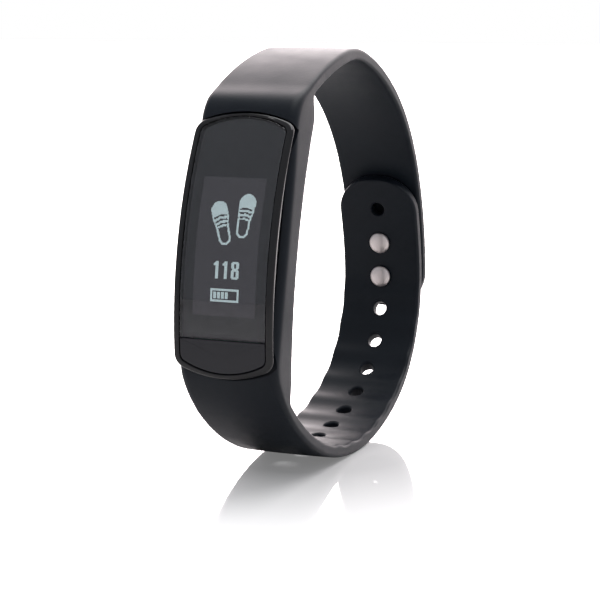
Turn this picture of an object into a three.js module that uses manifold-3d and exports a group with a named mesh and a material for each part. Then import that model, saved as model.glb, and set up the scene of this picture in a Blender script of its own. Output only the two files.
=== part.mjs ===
// A fitness tracker band, closed and standing on its lower curve.
// Millimetres. +X runs across the strap, -Y is the display side, +Z is up.
// The origin is on the ground, under the middle of the loop.
import * as THREE from "three";
import { mergeVertices } from "three/addons/utils/BufferGeometryUtils.js";
import Module from "manifold-3d";

const wasm = await Module();
wasm.setup();

// ---------- driving dimensions ----------

// Strap section and widths
const strapThickness = 2.2;
const frameWidth = 17.3; // at the tracker
const tipWidth = 15.4; // at the clasp
const strapEdge = 0.45; // small bevel along the strap's edges
const touchGap = 0.3; // between pieces that rest on each other
const fitGap = 0.3; // around a piece that sits in a pocket

// Outer line of the perforated strap: from the tracker, under the loop and up the back
const chinTurn = 39.5; // degrees between the frame's front and the start of the strap
const frameBelow = 20; // where it starts, along the tracker from its middle
const tongueArcs = [
  { radius: 29.5, sweep: 21.3 }, // below the tracker
  { radius: 48.5, sweep: 68.9 }, // underside
  { radius: 24.4, sweep: 71.8 }, // lower back
  { radius: 66, sweep: 14.8 }, // end that lies inside the clasp strap
];
const restFlatDepth = 0.2; // how much the underside is flattened where it rests

// Outer line of the clasp strap: from its end, up the back and over towards the tracker.
// It starts alongside the perforated strap, and a last arc closes it onto the frame.
const lapGap = 0.4; // between the two straps
const lapLean = -2.3; // degrees between the two straps at the middle of the clasp
const claspTip = 10.3; // from the middle of the clasp to the strap's end
const frameAbove = 22.7; // where it reaches the frame, along the tracker from its middle
const claspArcs = [
  { radius: 52, sweep: 32.5 }, // back
  { radius: 39, sweep: 28 }, // shoulder
  { radius: 51, sweep: 21.5 }, // top, behind the crown
  { radius: 21, sweep: 22 }, // crown
];

// Perforations and the two-stud clasp
const holeCount = 12;
const holePitch = 7.0;
const holeDiameter = 2.6;
const firstHole = 6.5; // from the end of the perforated strap
const upperStudHole = 1; // index of the hole that holds the upper stud
const studShank = 2.2;
const studHead = 4.0;
const studHeadHeight = 1.0;
const plateLength = 15;
const plateWidth = 8;
const plateCorner = 3.9;
const plateThickness = 0.8;
const plateGap = 0.15;
const headGap = 0.3; // between a stud's head and the strap it holds
const headRim = 0.25; // straight rim of a stud's head
const endRadius = 6.9; // of the rounded ends of both straps

// Where the clasp strap flexes, measured along its outer line from its tip
const tipFlexAt = 46;
const rootFlexAt = 87;
const flexGap = 0.4;
const tongueRoot = 16; // length of perforated strap that is moulded onto the frame

// Tracker: a curved pebble that leans back in the frame
const faceRadius = 62;
const crown = { y: -37.3, z: 42.0 }; // middle of the face, above the underside of the loop
const trackerLean = 13.45; // degrees
const bezelLength = 43;
const bezelWidth = 17.3;
const bezelThickness = 2.2;
const bezelDrop = 3.8; // depth of the bezel's straight underside below the crown of the face
const endSagitta = 2.0; // how far the rounded ends bow out
const bezelCorner = 2.3;
const lensWidth = 14.85;
const lensLength = 41.4;
const lensThickness = 0.8;
const lensCorner = 1.3;
const rimGap = 0.15; // between the lens and the bezel's rim
const keySeam = -15.4; // height of the seam between lens and key, along the tracker
const seamGap = 0.2;
const bodyWidth = 14.4;
const bodyLength = 39;
const bodyCorner = 3;
const caseWall = 1.0;
const splitDepth = 7.0; // depth of the joint between front case and back cover
const sealThickness = 0.3;
const sealGap = 0.1;
const sealInset = 0.2;
const coverFloor = 1.2;
const frameInnerDepth = 10.0;
const frameInnerRadius = 105;
const frameInnerBelow = 23.2;
const frameInnerAbove = 25.5;
const rampStart = 6; // along the perforated strap, where the frame's thick end starts to taper
const rampEnd = 9.5;
const topRamp = 5.5;

// Inside the tracker, depths below the crown of the face
const solder = 0.1; // stand-off under a mounted piece
const panel = { width: 12.0, length: 24.4, thickness: 1.2, depth: 2.4, middle: -0.6 };
const ribbonThickness = 0.15;
const ribbonLead = 0.6;
const ribbonTail = 1.6;
const ribbonWidth = 7.2;
const board = { width: 11.8, length: 35.4, thickness: 0.8, depth: 4.2, middle: -0.3 };
const boardCorner = 1.5;
const keySwitch = { width: 3.2, length: 2.0, thickness: 0.5, depth: 3.6, middle: -16.4 };
const keyTravel = 0.25;
const keyRest = 0.05; // between the stem and the switch when the key is pressed
const stemRadius = 0.7;
const chipDepth = board.depth + board.thickness + solder;
const processor = { width: 5, length: 5, thickness: 0.9, depth: chipDepth, middle: -3 };
const motionSensor = { width: 2, length: 2, thickness: 0.8, depth: chipDepth, middle: 2.4 };
const crystal = { width: 3.2, length: 1.5, thickness: 0.7, depth: chipDepth, middle: -9 };
const antenna = { width: 5.2, length: 1.2, thickness: 0.6, depth: chipDepth, middle: 16.2 };
const battery = { width: 10.8, length: 20.4, thickness: 3.0, depth: 6.6, middle: -5.6 };
const coverGap = 0.5; // between the battery and the back cover
// depth of the face that lies on the wrist
const coverDepth = battery.depth + battery.thickness + coverGap + coverFloor;
const guardBoard = { width: 8, length: 0.8, thickness: 2.2, depth: 7.0, middle: 5.4 };
const leadRadius = 0.35;
const leadSide = 3;
const motor = { diameter: 9, height: 2.8, wall: 0.35, middle: 11.4 };
const motorDepth = 6.4;
const motorBase = 0.3;
const motorRunning = 0.25; // clearance round the spinning weight
const motorShaft = 0.8;
const weightHub = 0.9;
const contactSpacing = 5.0;
const contactDiameter = 1.8;
const contactGap = 0.15;
const contactFlange = 0.4;
const contactProud = 0.15;
const contactMiddle = 13;

// How finely curves are cut
const ribbonStep = 2.4;
const searchStep = 0.05;
const roundSides = 20;
const slabReach = 30; // longer than any piece of the tracker
const cutReach = 8; // deeper than both straps

// ---------- materials ----------

function finish(color, roughness, metalness) {
  return new THREE.MeshStandardMaterial({ color, roughness, metalness });
}

const silicone = () => finish(0x2f3439, 0.62, 0);
const glossBlack = () => finish(0x1c1d20, 0.12, 0);
const smokedGlass = () => finish(0x33353a, 0.06, 0);
const satinSteel = () => finish(0xbdb0ab, 0.35, 1);
const boardGreen = () => finish(0x1d4a33, 0.5, 0);
const chipBlack = () => finish(0x18191b, 0.5, 0);
const pouchFoil = () => finish(0xb8bcc0, 0.4, 0.6);
const goldPlate = () => finish(0xc9a24a, 0.3, 1);
const amberFilm = () => finish(0xa8641c, 0.4, 0);
const redSleeve = () => finish(0xa02020, 0.5, 0);
const softGrey = () => finish(0x6c6f72, 0.8, 0);

// ---------- solids ----------

function toSolid(geometry) {
  const bare = geometry.index ? geometry.toNonIndexed() : geometry.clone();
  bare.deleteAttribute("normal");
  bare.deleteAttribute("uv");
  const merged = mergeVertices(bare, 1e-4);
  return new wasm.Manifold(
    new wasm.Mesh({
      numProp: 3,
      vertProperties: new Float32Array(merged.attributes.position.array),
      triVerts: new Uint32Array(merged.index.array),
    }),
  );
}

function toGeometry(solid) {
  const mesh = solid.getMesh();
  const positions = new Float32Array(mesh.numVert * 3);
  for (let i = 0; i < mesh.numVert; i++) {
    positions.set(mesh.vertProperties.subarray(i * mesh.numProp, i * mesh.numProp + 3), i * 3);
  }
  const geometry = new THREE.BufferGeometry();
  geometry.setAttribute("position", new THREE.BufferAttribute(positions, 3));
  geometry.setIndex(new THREE.BufferAttribute(new Uint32Array(mesh.triVerts), 1));
  return geometry;
}

function makeNode(name, geometry, material) {
  const mesh = new THREE.Mesh(geometry, material);
  mesh.name = name;
  return mesh;
}

// A side view drawn in (y, z), made into a slab that is centred on x = 0.
function sideSlab(points, width, edge = 0) {
  const shape = new THREE.Shape(points.map((p) => new THREE.Vector2(p.y, p.z)));
  const geometry = new THREE.ExtrudeGeometry(shape, {
    depth: width - 2 * edge,
    bevelEnabled: edge > 0,
    bevelThickness: edge,
    bevelSize: edge,
    bevelOffset: -edge,
    bevelSegments: 1,
    curveSegments: 8,
  });
  geometry.translate(0, 0, edge - width / 2);
  const turn = new THREE.Matrix4().makeBasis(
    new THREE.Vector3(0, 1, 0),
    new THREE.Vector3(0, 0, 1),
    new THREE.Vector3(1, 0, 0),
  );
  return geometry.applyMatrix4(turn);
}

// A plan drawn in (x, z), made into a prism from depth y0 to depth y1.
function planPrism(shape, y0, y1) {
  const geometry = new THREE.ExtrudeGeometry(shape, {
    depth: y1 - y0,
    bevelEnabled: false,
    curveSegments: 8,
  });
  return geometry.rotateX(Math.PI / 2).translate(0, y1, 0);
}

function roundedPlan(width, length, corner, middle = 0) {
  const x = width / 2 - corner;
  const z = length / 2 - corner;
  const shape = new THREE.Shape();
  shape.absarc(x, middle + z, corner, 0, Math.PI / 2, false);
  shape.absarc(-x, middle + z, corner, Math.PI / 2, Math.PI, false);
  shape.absarc(-x, middle - z, corner, Math.PI, 1.5 * Math.PI, false);
  shape.absarc(x, middle - z, corner, 1.5 * Math.PI, 2 * Math.PI, false);
  shape.closePath();
  return shape;
}

// Straight sides, ends that bow out, and a small round at each corner.
function bowedPlan(width, length, sagitta, corner) {
  const half = width / 2;
  const bow = (half * half + sagitta * sagitta) / (2 * sagitta);
  const bowCentre = length / 2 - bow;
  const cornerX = half - corner;
  const cornerZ = bowCentre + Math.sqrt((bow - corner) ** 2 - cornerX ** 2);
  const lean = Math.atan2(cornerZ - bowCentre, cornerX);
  const shape = new THREE.Shape();
  shape.absarc(cornerX, cornerZ, corner, 0, lean, false);
  shape.absarc(0, bowCentre, bow, lean, Math.PI - lean, false);
  shape.absarc(-cornerX, cornerZ, corner, Math.PI - lean, Math.PI, false);
  shape.absarc(-cornerX, -cornerZ, corner, Math.PI, Math.PI + lean, false);
  shape.absarc(0, -bowCentre, bow, Math.PI + lean, 2 * Math.PI - lean, false);
  shape.absarc(cornerX, -cornerZ, corner, 2 * Math.PI - lean, 2 * Math.PI, false);
  shape.closePath();
  return shape;
}

function boxSolid(width, depth, height, x, y, z) {
  return new THREE.BoxGeometry(width, depth, height).translate(x, y, z);
}

// ---------- the tracker's own frame ----------
// +y of this frame points from the display at the wrist, +z runs up along the tracker.

const lean = THREE.MathUtils.degToRad(trackerLean);
const trackerMatrix = new THREE.Matrix4().makeRotationX(-lean).setPosition(0, crown.y, crown.z);

function trackerPoint(depth, along) {
  const p = new THREE.Vector3(0, depth, along).applyMatrix4(trackerMatrix);
  return { y: p.y, z: p.z };
}

// ---------- strap lines ----------

// A chain of tangent arcs, read by distance along it.
class ArcLine {
  constructor(start, arcs) {
    this.parts = [];
    this.length = 0;
    this.end = { y: start.y, z: start.z, heading: THREE.MathUtils.degToRad(start.heading) };
    for (const arc of arcs) {
      this.addArc(arc.radius, THREE.MathUtils.degToRad(arc.sweep));
    }
  }

  addArc(radius, sweep) {
    const { y, z, heading } = this.end;
    this.parts.push({ y, z, heading, radius, from: this.length });
    this.length += radius * sweep;
    this.end = this.at(this.length);
  }

  // One more arc, tangent to the line so far, that ends at the given point.
  closeTo(target) {
    const { y, z, heading } = this.end;
    const reach = Math.hypot(target.y - y, target.z - z);
    const turn = Math.atan2(target.z - z, target.y - y) - heading;
    const halfSweep = Math.atan2(Math.sin(turn), Math.cos(turn));
    this.addArc(reach / (2 * Math.sin(halfSweep)), 2 * halfSweep);
  }

  at(distance) {
    const part = this.parts.findLast((p) => distance >= p.from) ?? this.parts[0];
    const turn = (distance - part.from) / part.radius;
    const chord = 2 * part.radius * Math.sin(turn / 2);
    return {
      y: part.y + chord * Math.cos(part.heading + turn / 2),
      z: part.z + chord * Math.sin(part.heading + turn / 2),
      heading: part.heading + turn,
    };
  }

  // A point at the given depth under the outer line, towards the wrist.
  under(distance, depth) {
    const p = this.at(distance);
    return {
      y: p.y - depth * Math.sin(p.heading),
      z: p.z + depth * Math.cos(p.heading),
      heading: p.heading,
    };
  }

  // The band between two depths, as a closed outline.
  ribbon(from, to, depth0, depth1) {
    const steps = Math.max(3, Math.round((to - from) / ribbonStep));
    const outer = [];
    const inner = [];
    for (let i = 0; i <= steps; i++) {
      const s = from + ((to - from) * i) / steps;
      outer.push(this.under(s, depth0));
      inner.push(this.under(s, depth1));
    }
    return [...outer, ...inner.reverse()];
  }

  // The distance along the line that is nearest to a point.
  nearest(point) {
    let best = 0;
    let nearest = Infinity;
    for (let s = 0; s < this.length; s += searchStep) {
      const p = this.at(s);
      const away = Math.hypot(p.y - point.y, p.z - point.z);
      if (away < nearest) {
        nearest = away;
        best = s;
      }
    }
    return best;
  }

  // The lowest, highest, foremost and rearmost places of the line.
  extent() {
    const box = new THREE.Box2();
    for (let s = 0; s <= this.length; s += searchStep) {
      const p = this.at(s);
      box.expandByPoint(new THREE.Vector2(p.y, p.z));
    }
    return box;
  }
}

const frameFront = bezelDrop + touchGap;
const tongueStart = {
  ...trackerPoint(frameFront, -frameBelow),
  heading: -90 - trackerLean + chinTurn,
};
const tongueLine = new ArcLine(tongueStart, tongueArcs);

// The clasp strap lies against the perforated one, at the middle of the clasp.
const claspMiddle = tongueLine.length - firstHole - (upperStudHole + 0.5) * holePitch;
const lapPoint = tongueLine.under(claspMiddle, -(strapThickness + lapGap));
const backArc = new ArcLine(
  { ...lapPoint, heading: THREE.MathUtils.radToDeg(lapPoint.heading) + lapLean },
  claspArcs,
);
const claspEnd = backArc.at(-claspTip);
const claspStart = { ...claspEnd, heading: THREE.MathUtils.radToDeg(claspEnd.heading) };
const claspLine = new ArcLine(claspStart, claspArcs);
claspLine.closeTo(trackerPoint(frameFront, frameAbove));

// The strap narrows evenly from the tracker to the clasp.
function widthAt(y) {
  const share = THREE.MathUtils.clamp((y - tongueStart.y) / (claspStart.y - tongueStart.y), 0, 1);
  return THREE.MathUtils.lerp(frameWidth, tipWidth, share);
}

function tapered(geometry) {
  const position = geometry.getAttribute("position");
  for (let i = 0; i < position.count; i++) {
    const share = widthAt(position.getY(i)) / frameWidth;
    position.setX(i, position.getX(i) * share);
  }
  return geometry;
}

// A place on a strap: +y of the returned frame points at the wrist, +z runs along the line.
function placeOn(line, distance) {
  const p = line.at(distance);
  const inward = new THREE.Vector3(0, -Math.sin(p.heading), Math.cos(p.heading));
  const along = new THREE.Vector3(0, Math.cos(p.heading), Math.sin(p.heading));
  const across = new THREE.Vector3().crossVectors(inward, along);
  return new THREE.Matrix4().makeBasis(across, inward, along).setPosition(0, p.y, p.z);
}

// Rounds a strap's end in plan: side is -1 at the start of its line, +1 at the finish.
function roundEnd(solid, line, endAt, side) {
  const halfWidth = widthAt(line.at(endAt).y) / 2;
  const radius = Math.min(endRadius, halfWidth);
  const place = placeOn(line, endAt - side * radius);
  const block = new THREE.BoxGeometry(2 * frameWidth, 2 * cutReach, 2 * radius);
  block.translate(0, 0, side * radius);
  const kept = roundedPlan(2 * halfWidth, 4 * radius, radius, -side * radius);
  const keptSolid = toSolid(planPrism(kept, -2 * cutReach, 2 * cutReach).applyMatrix4(place));
  return solid.subtract(toSolid(block.applyMatrix4(place)).subtract(keptSolid));
}

function drill(line, distance, diameter) {
  const bit = new THREE.CylinderGeometry(diameter / 2, diameter / 2, 2 * cutReach, roundSides);
  return toSolid(bit.applyMatrix4(placeOn(line, distance)));
}

// ---------- strap pieces ----------

function strapPiece(line, from, to) {
  const outline = line.ribbon(from, to, 0, strapThickness);
  return toSolid(tapered(sideSlab(outline, frameWidth, strapEdge)));
}

// The frame round the tracker, with the root of each strap moulded onto it.
function makeFrame() {
  const outline = [claspLine.end, tongueLine.at(0), tongueLine.at(rampStart)];
  outline.push(tongueLine.under(rampEnd, strapThickness / 2));
  outline.push(tongueLine.under(rampEnd, strapThickness));
  const steps = 16;
  for (let i = 0; i <= steps; i++) {
    const z = THREE.MathUtils.lerp(-frameInnerBelow, frameInnerAbove, i / steps);
    outline.push(trackerPoint(frameInnerDepth + arcDrop(frameInnerRadius, z), z));
  }
  outline.push(claspLine.under(claspLine.length - topRamp, strapThickness / 2));
  const upper = strapPiece(claspLine, rootFlexAt + flexGap / 2, claspLine.length);
  const lower = strapPiece(tongueLine, 0, tongueRoot);
  const block = toSolid(sideSlab(outline, frameWidth, strapEdge)).add(upper).add(lower);
  // The window for the tracker's body, and the seat of its bezel.
  const window = roundedPlan(bodyWidth + 2 * fitGap, bodyLength + 2 * fitGap, bodyCorner + fitGap);
  const through = toSolid(planPrism(window, -slabReach, slabReach));
  const seatPlan = bowedPlan(
    bezelWidth + 2 * fitGap,
    bezelLength + 2 * fitGap,
    endSagitta,
    bezelCorner + fitGap,
  );
  const seat = toSolid(planPrism(seatPlan, -slabReach, slabReach)).intersect(bezelReach(touchGap));
  const cut = through.add(seat).transform(trackerMatrix.elements);
  return toGeometry(block.subtract(cut));
}

function makeTongue() {
  const end = tongueLine.length;
  let solid = strapPiece(tongueLine, tongueRoot + touchGap, end);
  solid = roundEnd(solid, tongueLine, end, 1);
  for (let i = 0; i < holeCount; i++) {
    solid = solid.subtract(drill(tongueLine, end - firstHole - i * holePitch, holeDiameter));
  }
  const ground = new THREE.BoxGeometry(2 * frameWidth, 2 * slabReach, 2 * slabReach);
  ground.translate(0, 0, tongueLine.extent().min.y + restFlatDepth - slabReach);
  return toGeometry(solid.subtract(toSolid(ground)));
}

// The studs sit opposite two neighbouring holes of the perforated strap.
const studPlaces = [upperStudHole, upperStudHole + 1].map((hole) =>
  claspLine.nearest(tongueLine.at(tongueLine.length - firstHole - hole * holePitch)),
);
const plateMiddle = (studPlaces[0] + studPlaces[1]) / 2;

// The plate's outline, grown all round, from outside the strap down to a depth.
function plateSolid(grow, depth0, depth1) {
  const outline = claspLine.ribbon(
    plateMiddle - plateLength,
    plateMiddle + plateLength,
    depth0,
    depth1,
  );
  const plan = roundedPlan(plateWidth + 2 * grow, plateLength + 2 * grow, plateCorner + grow);
  const prism = planPrism(plan, -cutReach, cutReach).applyMatrix4(placeOn(claspLine, plateMiddle));
  return toSolid(sideSlab(outline, 2 * plateWidth)).intersect(toSolid(prism));
}

function makeClaspEnd() {
  let solid = strapPiece(claspLine, 0, tipFlexAt - flexGap / 2);
  solid = roundEnd(solid, claspLine, 0, -1);
  solid = solid.subtract(plateSolid(plateGap, -cutReach, plateThickness + plateGap));
  for (const place of studPlaces) {
    solid = solid.subtract(drill(claspLine, place, studShank + 2 * plateGap));
  }
  return toGeometry(solid);
}

function makeClaspBend() {
  return toGeometry(strapPiece(claspLine, tipFlexAt + flexGap / 2, rootFlexAt - flexGap / 2));
}

// A stud: its shank starts under the plate and its domed head lies on the wrist side.
function makeStud(place) {
  const headAt = 2 * strapThickness + lapGap + headGap;
  const footAt = plateThickness + 2 * plateGap;
  const profile = [
    new THREE.Vector2(0, footAt),
    new THREE.Vector2(studShank / 2, footAt),
    new THREE.Vector2(studShank / 2, headAt),
    new THREE.Vector2(studHead / 2, headAt),
  ];
  const domeSteps = 4;
  for (let i = 0; i <= domeSteps; i++) {
    const turn = ((i / domeSteps) * Math.PI) / 2;
    profile.push(
      new THREE.Vector2(
        i === domeSteps ? 0 : (studHead / 2) * Math.cos(turn),
        headAt + headRim + (studHeadHeight - headRim) * Math.sin(turn),
      ),
    );
  }
  const lathe = new THREE.LatheGeometry(profile, roundSides);
  return lathe.applyMatrix4(placeOn(claspLine, place));
}

// ---------- the tracker's pieces ----------

function arcDrop(radius, z) {
  return radius - Math.sqrt(radius * radius - z * z);
}

// Everything behind the curved face, sunk by the given depth.
function behindFace(sunk) {
  const outline = [];
  const steps = 28;
  for (let i = 0; i <= steps; i++) {
    const z = THREE.MathUtils.lerp(slabReach, -slabReach, i / steps);
    outline.push({ y: sunk + arcDrop(faceRadius, z), z });
  }
  outline.push({ y: 2 * slabReach, z: -slabReach });
  outline.push({ y: 2 * slabReach, z: slabReach });
  return toSolid(sideSlab(outline, 4 * slabReach));
}

// Everything in front of the bezel's underside: straight at the middle, curved at the ends.
function bezelReach(extra) {
  const depth = bezelDrop + extra;
  const box = new THREE.BoxGeometry(4 * slabReach, 2 * slabReach, 2 * slabReach);
  const inFront = toSolid(box.clone().translate(0, depth - slabReach, 0));
  const all = toSolid(box.translate(0, slabReach / 2, 0));
  return inFront.add(all.subtract(behindFace(bezelThickness + extra)));
}

function prism(plan, y0, y1) {
  return toSolid(planPrism(plan, y0, y1));
}

const cavityPlan = () =>
  roundedPlan(bodyWidth - 2 * caseWall, bodyLength - 2 * caseWall, bodyCorner - caseWall);
const bodyPlan = () => roundedPlan(bodyWidth, bodyLength, bodyCorner);
const lensPlan = (grow) =>
  bowedPlan(lensWidth + 2 * grow, lensLength + 2 * grow, endSagitta, lensCorner + grow);

function makeFrontCase() {
  const flange = prism(
    bowedPlan(bezelWidth, bezelLength, endSagitta, bezelCorner),
    -slabReach,
    slabReach,
  ).intersect(bezelReach(0));
  const body = prism(bodyPlan(), 0, splitDepth);
  const pocket = prism(lensPlan(rimGap), -slabReach, slabReach).subtract(
    behindFace(lensThickness + touchGap),
  );
  const cavity = prism(cavityPlan(), -slabReach, slabReach);
  return toGeometry(flange.add(body).intersect(behindFace(0)).subtract(pocket).subtract(cavity));
}

// The glass above the seam, and the blank for the key below it.
function lensSlice(from, to) {
  const slice = boxSolid(2 * bezelWidth, 2 * slabReach, to - from, 0, 0, (from + to) / 2);
  return prism(lensPlan(0), -slabReach, slabReach)
    .intersect(behindFace(0))
    .subtract(behindFace(lensThickness))
    .intersect(toSolid(slice));
}

function makeLens() {
  return toGeometry(lensSlice(keySeam + seamGap / 2, slabReach));
}

// The key, with a short stem over its switch.
function makeKey() {
  const buried = arcDrop(faceRadius, keySwitch.middle) + lensThickness / 2;
  const foot = keySwitch.depth - keyTravel - keyRest;
  const stem = disc(stemRadius, buried, foot, 0, keySwitch.middle);
  return toGeometry(lensSlice(-slabReach, keySeam - seamGap / 2).add(toSolid(stem)));
}

function makeBackCover() {
  const tray = prism(bodyPlan(), splitDepth + sealThickness + 2 * sealGap, coverDepth);
  let solid = tray.subtract(prism(cavityPlan(), 0, coverDepth - coverFloor));
  for (const side of [-1, 1]) {
    const bit = new THREE.CylinderGeometry(
      contactDiameter / 2 + contactGap,
      contactDiameter / 2 + contactGap,
      2 * slabReach,
      roundSides,
    );
    bit.translate((side * contactSpacing) / 2, 0, contactMiddle);
    solid = solid.subtract(toSolid(bit));
  }
  return toGeometry(solid);
}

function makeSeal() {
  const y0 = splitDepth + sealGap;
  const outer = roundedPlan(bodyWidth - sealInset, bodyLength - sealInset, bodyCorner);
  return toGeometry(prism(outer, y0, y0 + sealThickness).subtract(prism(cavityPlan(), 0, slabReach)));
}

// A charging contact: a flange inside the cover, and a pin that ends just proud of it.
function makeContact(side) {
  const floor = coverDepth - coverFloor;
  const flange = floor - contactGap;
  const profile = [
    new THREE.Vector2(0, flange - contactFlange),
    new THREE.Vector2(contactDiameter / 2 + contactFlange, flange - contactFlange),
    new THREE.Vector2(contactDiameter / 2 + contactFlange, flange),
    new THREE.Vector2(contactDiameter / 2, flange),
    new THREE.Vector2(contactDiameter / 2, coverDepth + contactProud),
    new THREE.Vector2(0, coverDepth + contactProud),
  ];
  const lathe = new THREE.LatheGeometry(profile, roundSides);
  return lathe.translate((side * contactSpacing) / 2, 0, contactMiddle);
}

// A flat block given by its front depth.
function slabPiece(size) {
  const { width, thickness, length, depth, middle } = size;
  return boxSolid(width, thickness, length, size.side ?? 0, depth + thickness / 2, middle);
}

function makeBoard() {
  const plan = roundedPlan(board.width, board.length, boardCorner);
  return planPrism(plan, board.depth, board.depth + board.thickness).translate(0, 0, board.middle);
}

// The ribbon leaves the panel's lower end, folds over and lies on the board.
function makePanelRibbon() {
  const end = panel.middle - panel.length / 2 - solder;
  const y0 = panel.depth + panel.thickness / 2;
  const y1 = board.depth - solder;
  const bend = (y1 - y0) / 2;
  const outline = [];
  const steps = 8;
  for (const radius of [bend, bend - ribbonThickness]) {
    const arc = [{ y: y0 + bend - radius, z: end }];
    for (let i = 0; i <= steps; i++) {
      const turn = (Math.PI * i) / steps;
      const y = y0 + bend - radius * Math.cos(turn);
      arc.push({ y, z: end - ribbonLead - radius * Math.sin(turn) });
    }
    arc.push({ y: y0 + bend + radius, z: end + ribbonTail });
    outline.push(...(radius === bend ? arc : arc.reverse()));
  }
  return sideSlab(outline, ribbonWidth);
}

// A lead from the board to the battery's guard board.
function makeLead(side) {
  const end = guardBoard.depth - solder;
  return disc(leadRadius, chipDepth, end, side * leadSide, guardBoard.middle);
}

function makeMotorCan() {
  const outer = motor.diameter / 2;
  const inner = outer - motor.wall;
  const open = motorDepth;
  const closed = motorDepth + motor.height;
  const profile = [
    new THREE.Vector2(0, closed - motor.wall),
    new THREE.Vector2(inner, closed - motor.wall),
    new THREE.Vector2(inner, open),
    new THREE.Vector2(outer, open),
    new THREE.Vector2(outer, closed),
    new THREE.Vector2(0, closed),
  ];
  return new THREE.LatheGeometry(profile, 2 * roundSides).translate(0, 0, motor.middle);
}

// A half disc on a hub, so that it shakes as it spins.
function makeMotorWeight() {
  const radius = motor.diameter / 2 - motor.wall - motorRunning;
  const plan = new THREE.Shape();
  plan.absarc(0, 0, radius, 0, Math.PI, false);
  plan.absarc(0, 0, weightHub, Math.PI, 2 * Math.PI, false);
  plan.closePath();
  const bore = new THREE.Path();
  bore.absarc(0, 0, motorShaft / 2 + motorRunning / 2, 0, 2 * Math.PI, true);
  plan.holes.push(bore);
  const y0 = motorDepth + motorRunning;
  const y1 = motorDepth + motor.height - motor.wall - motorRunning;
  return planPrism(plan, y0, y1).translate(0, 0, motor.middle);
}

function disc(radius, y0, y1, x, z) {
  const geometry = new THREE.CylinderGeometry(radius, radius, y1 - y0, roundSides);
  return geometry.translate(x, (y0 + y1) / 2, z);
}

// ---------- assembly ----------

function buildStraps() {
  const group = new THREE.Group();
  group.add(makeNode("strap_frame", makeFrame(), silicone()));
  group.add(makeNode("perforated_strap", makeTongue(), silicone()));
  group.add(makeNode("clasp_strap_bend", makeClaspBend(), silicone()));
  group.add(makeNode("clasp_strap_end", makeClaspEnd(), silicone()));
  const plate = toGeometry(plateSolid(0, 0, plateThickness));
  group.add(makeNode("clasp_plate", plate, satinSteel()));
  group.add(makeNode("clasp_stud_upper", makeStud(studPlaces[0]), satinSteel()));
  group.add(makeNode("clasp_stud_lower", makeStud(studPlaces[1]), satinSteel()));
  return group;
}

function buildTrackerCase() {
  const group = new THREE.Group();
  group.add(makeNode("front_case", makeFrontCase(), glossBlack()));
  group.add(makeNode("display_lens", makeLens(), smokedGlass()));
  group.add(makeNode("lower_key", makeKey(), smokedGlass()));
  group.add(makeNode("case_seal", makeSeal(), softGrey()));
  group.add(makeNode("back_cover", makeBackCover(), silicone()));
  group.add(makeNode("charge_contact_left", makeContact(-1), goldPlate()));
  group.add(makeNode("charge_contact_right", makeContact(1), goldPlate()));
  return group;
}

function buildElectronics() {
  const group = new THREE.Group();
  group.add(makeNode("display_panel", slabPiece(panel), glossBlack()));
  group.add(makeNode("display_ribbon", makePanelRibbon(), amberFilm()));
  group.add(makeNode("circuit_board", makeBoard(), boardGreen()));
  group.add(makeNode("key_switch", slabPiece(keySwitch), chipBlack()));
  group.add(makeNode("radio_processor", slabPiece(processor), chipBlack()));
  group.add(makeNode("motion_sensor", slabPiece(motionSensor), chipBlack()));
  group.add(makeNode("clock_crystal", slabPiece(crystal), satinSteel()));
  group.add(makeNode("antenna_chip", slabPiece(antenna), softGrey()));
  group.add(makeNode("battery_cell", slabPiece(battery), pouchFoil()));
  group.add(makeNode("battery_guard_board", slabPiece(guardBoard), boardGreen()));
  group.add(makeNode("battery_lead_plus", makeLead(1), redSleeve()));
  group.add(makeNode("battery_lead_minus", makeLead(-1), chipBlack()));
  return group;
}

function buildMotor() {
  const group = new THREE.Group();
  const end = motorDepth + motor.height - motor.wall - solder;
  const shaft = disc(motorShaft / 2, motorDepth, end, 0, motor.middle);
  const base = disc(motor.diameter / 2, motorDepth - solder - motorBase, motorDepth - solder, 0,
    motor.middle);
  group.add(makeNode("motor_can", makeMotorCan(), satinSteel()));
  group.add(makeNode("motor_weight", makeMotorWeight(), satinSteel()));
  group.add(makeNode("motor_shaft", shaft, satinSteel()));
  group.add(makeNode("motor_base", base, amberFilm()));
  return group;
}

const tracker = new THREE.Group();
tracker.position.set(0, crown.y, crown.z);
tracker.rotation.x = -lean;
tracker.add(buildTrackerCase(), buildElectronics(), buildMotor());

// The band stands on its underside, with the middle of its depth over the origin.
const band = new THREE.Group();
band.add(buildStraps(), tracker);
const foremost = crown.y - faceRadius * (1 - Math.cos(lean));
const rearmost = claspLine.extent().max.x;
const ground = tongueLine.extent().min.y + restFlatDepth;
band.position.set(0, -(foremost + rearmost) / 2, -ground);

const assembly = new THREE.Group();
assembly.add(band);

export default assembly;
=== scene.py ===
import math

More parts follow.
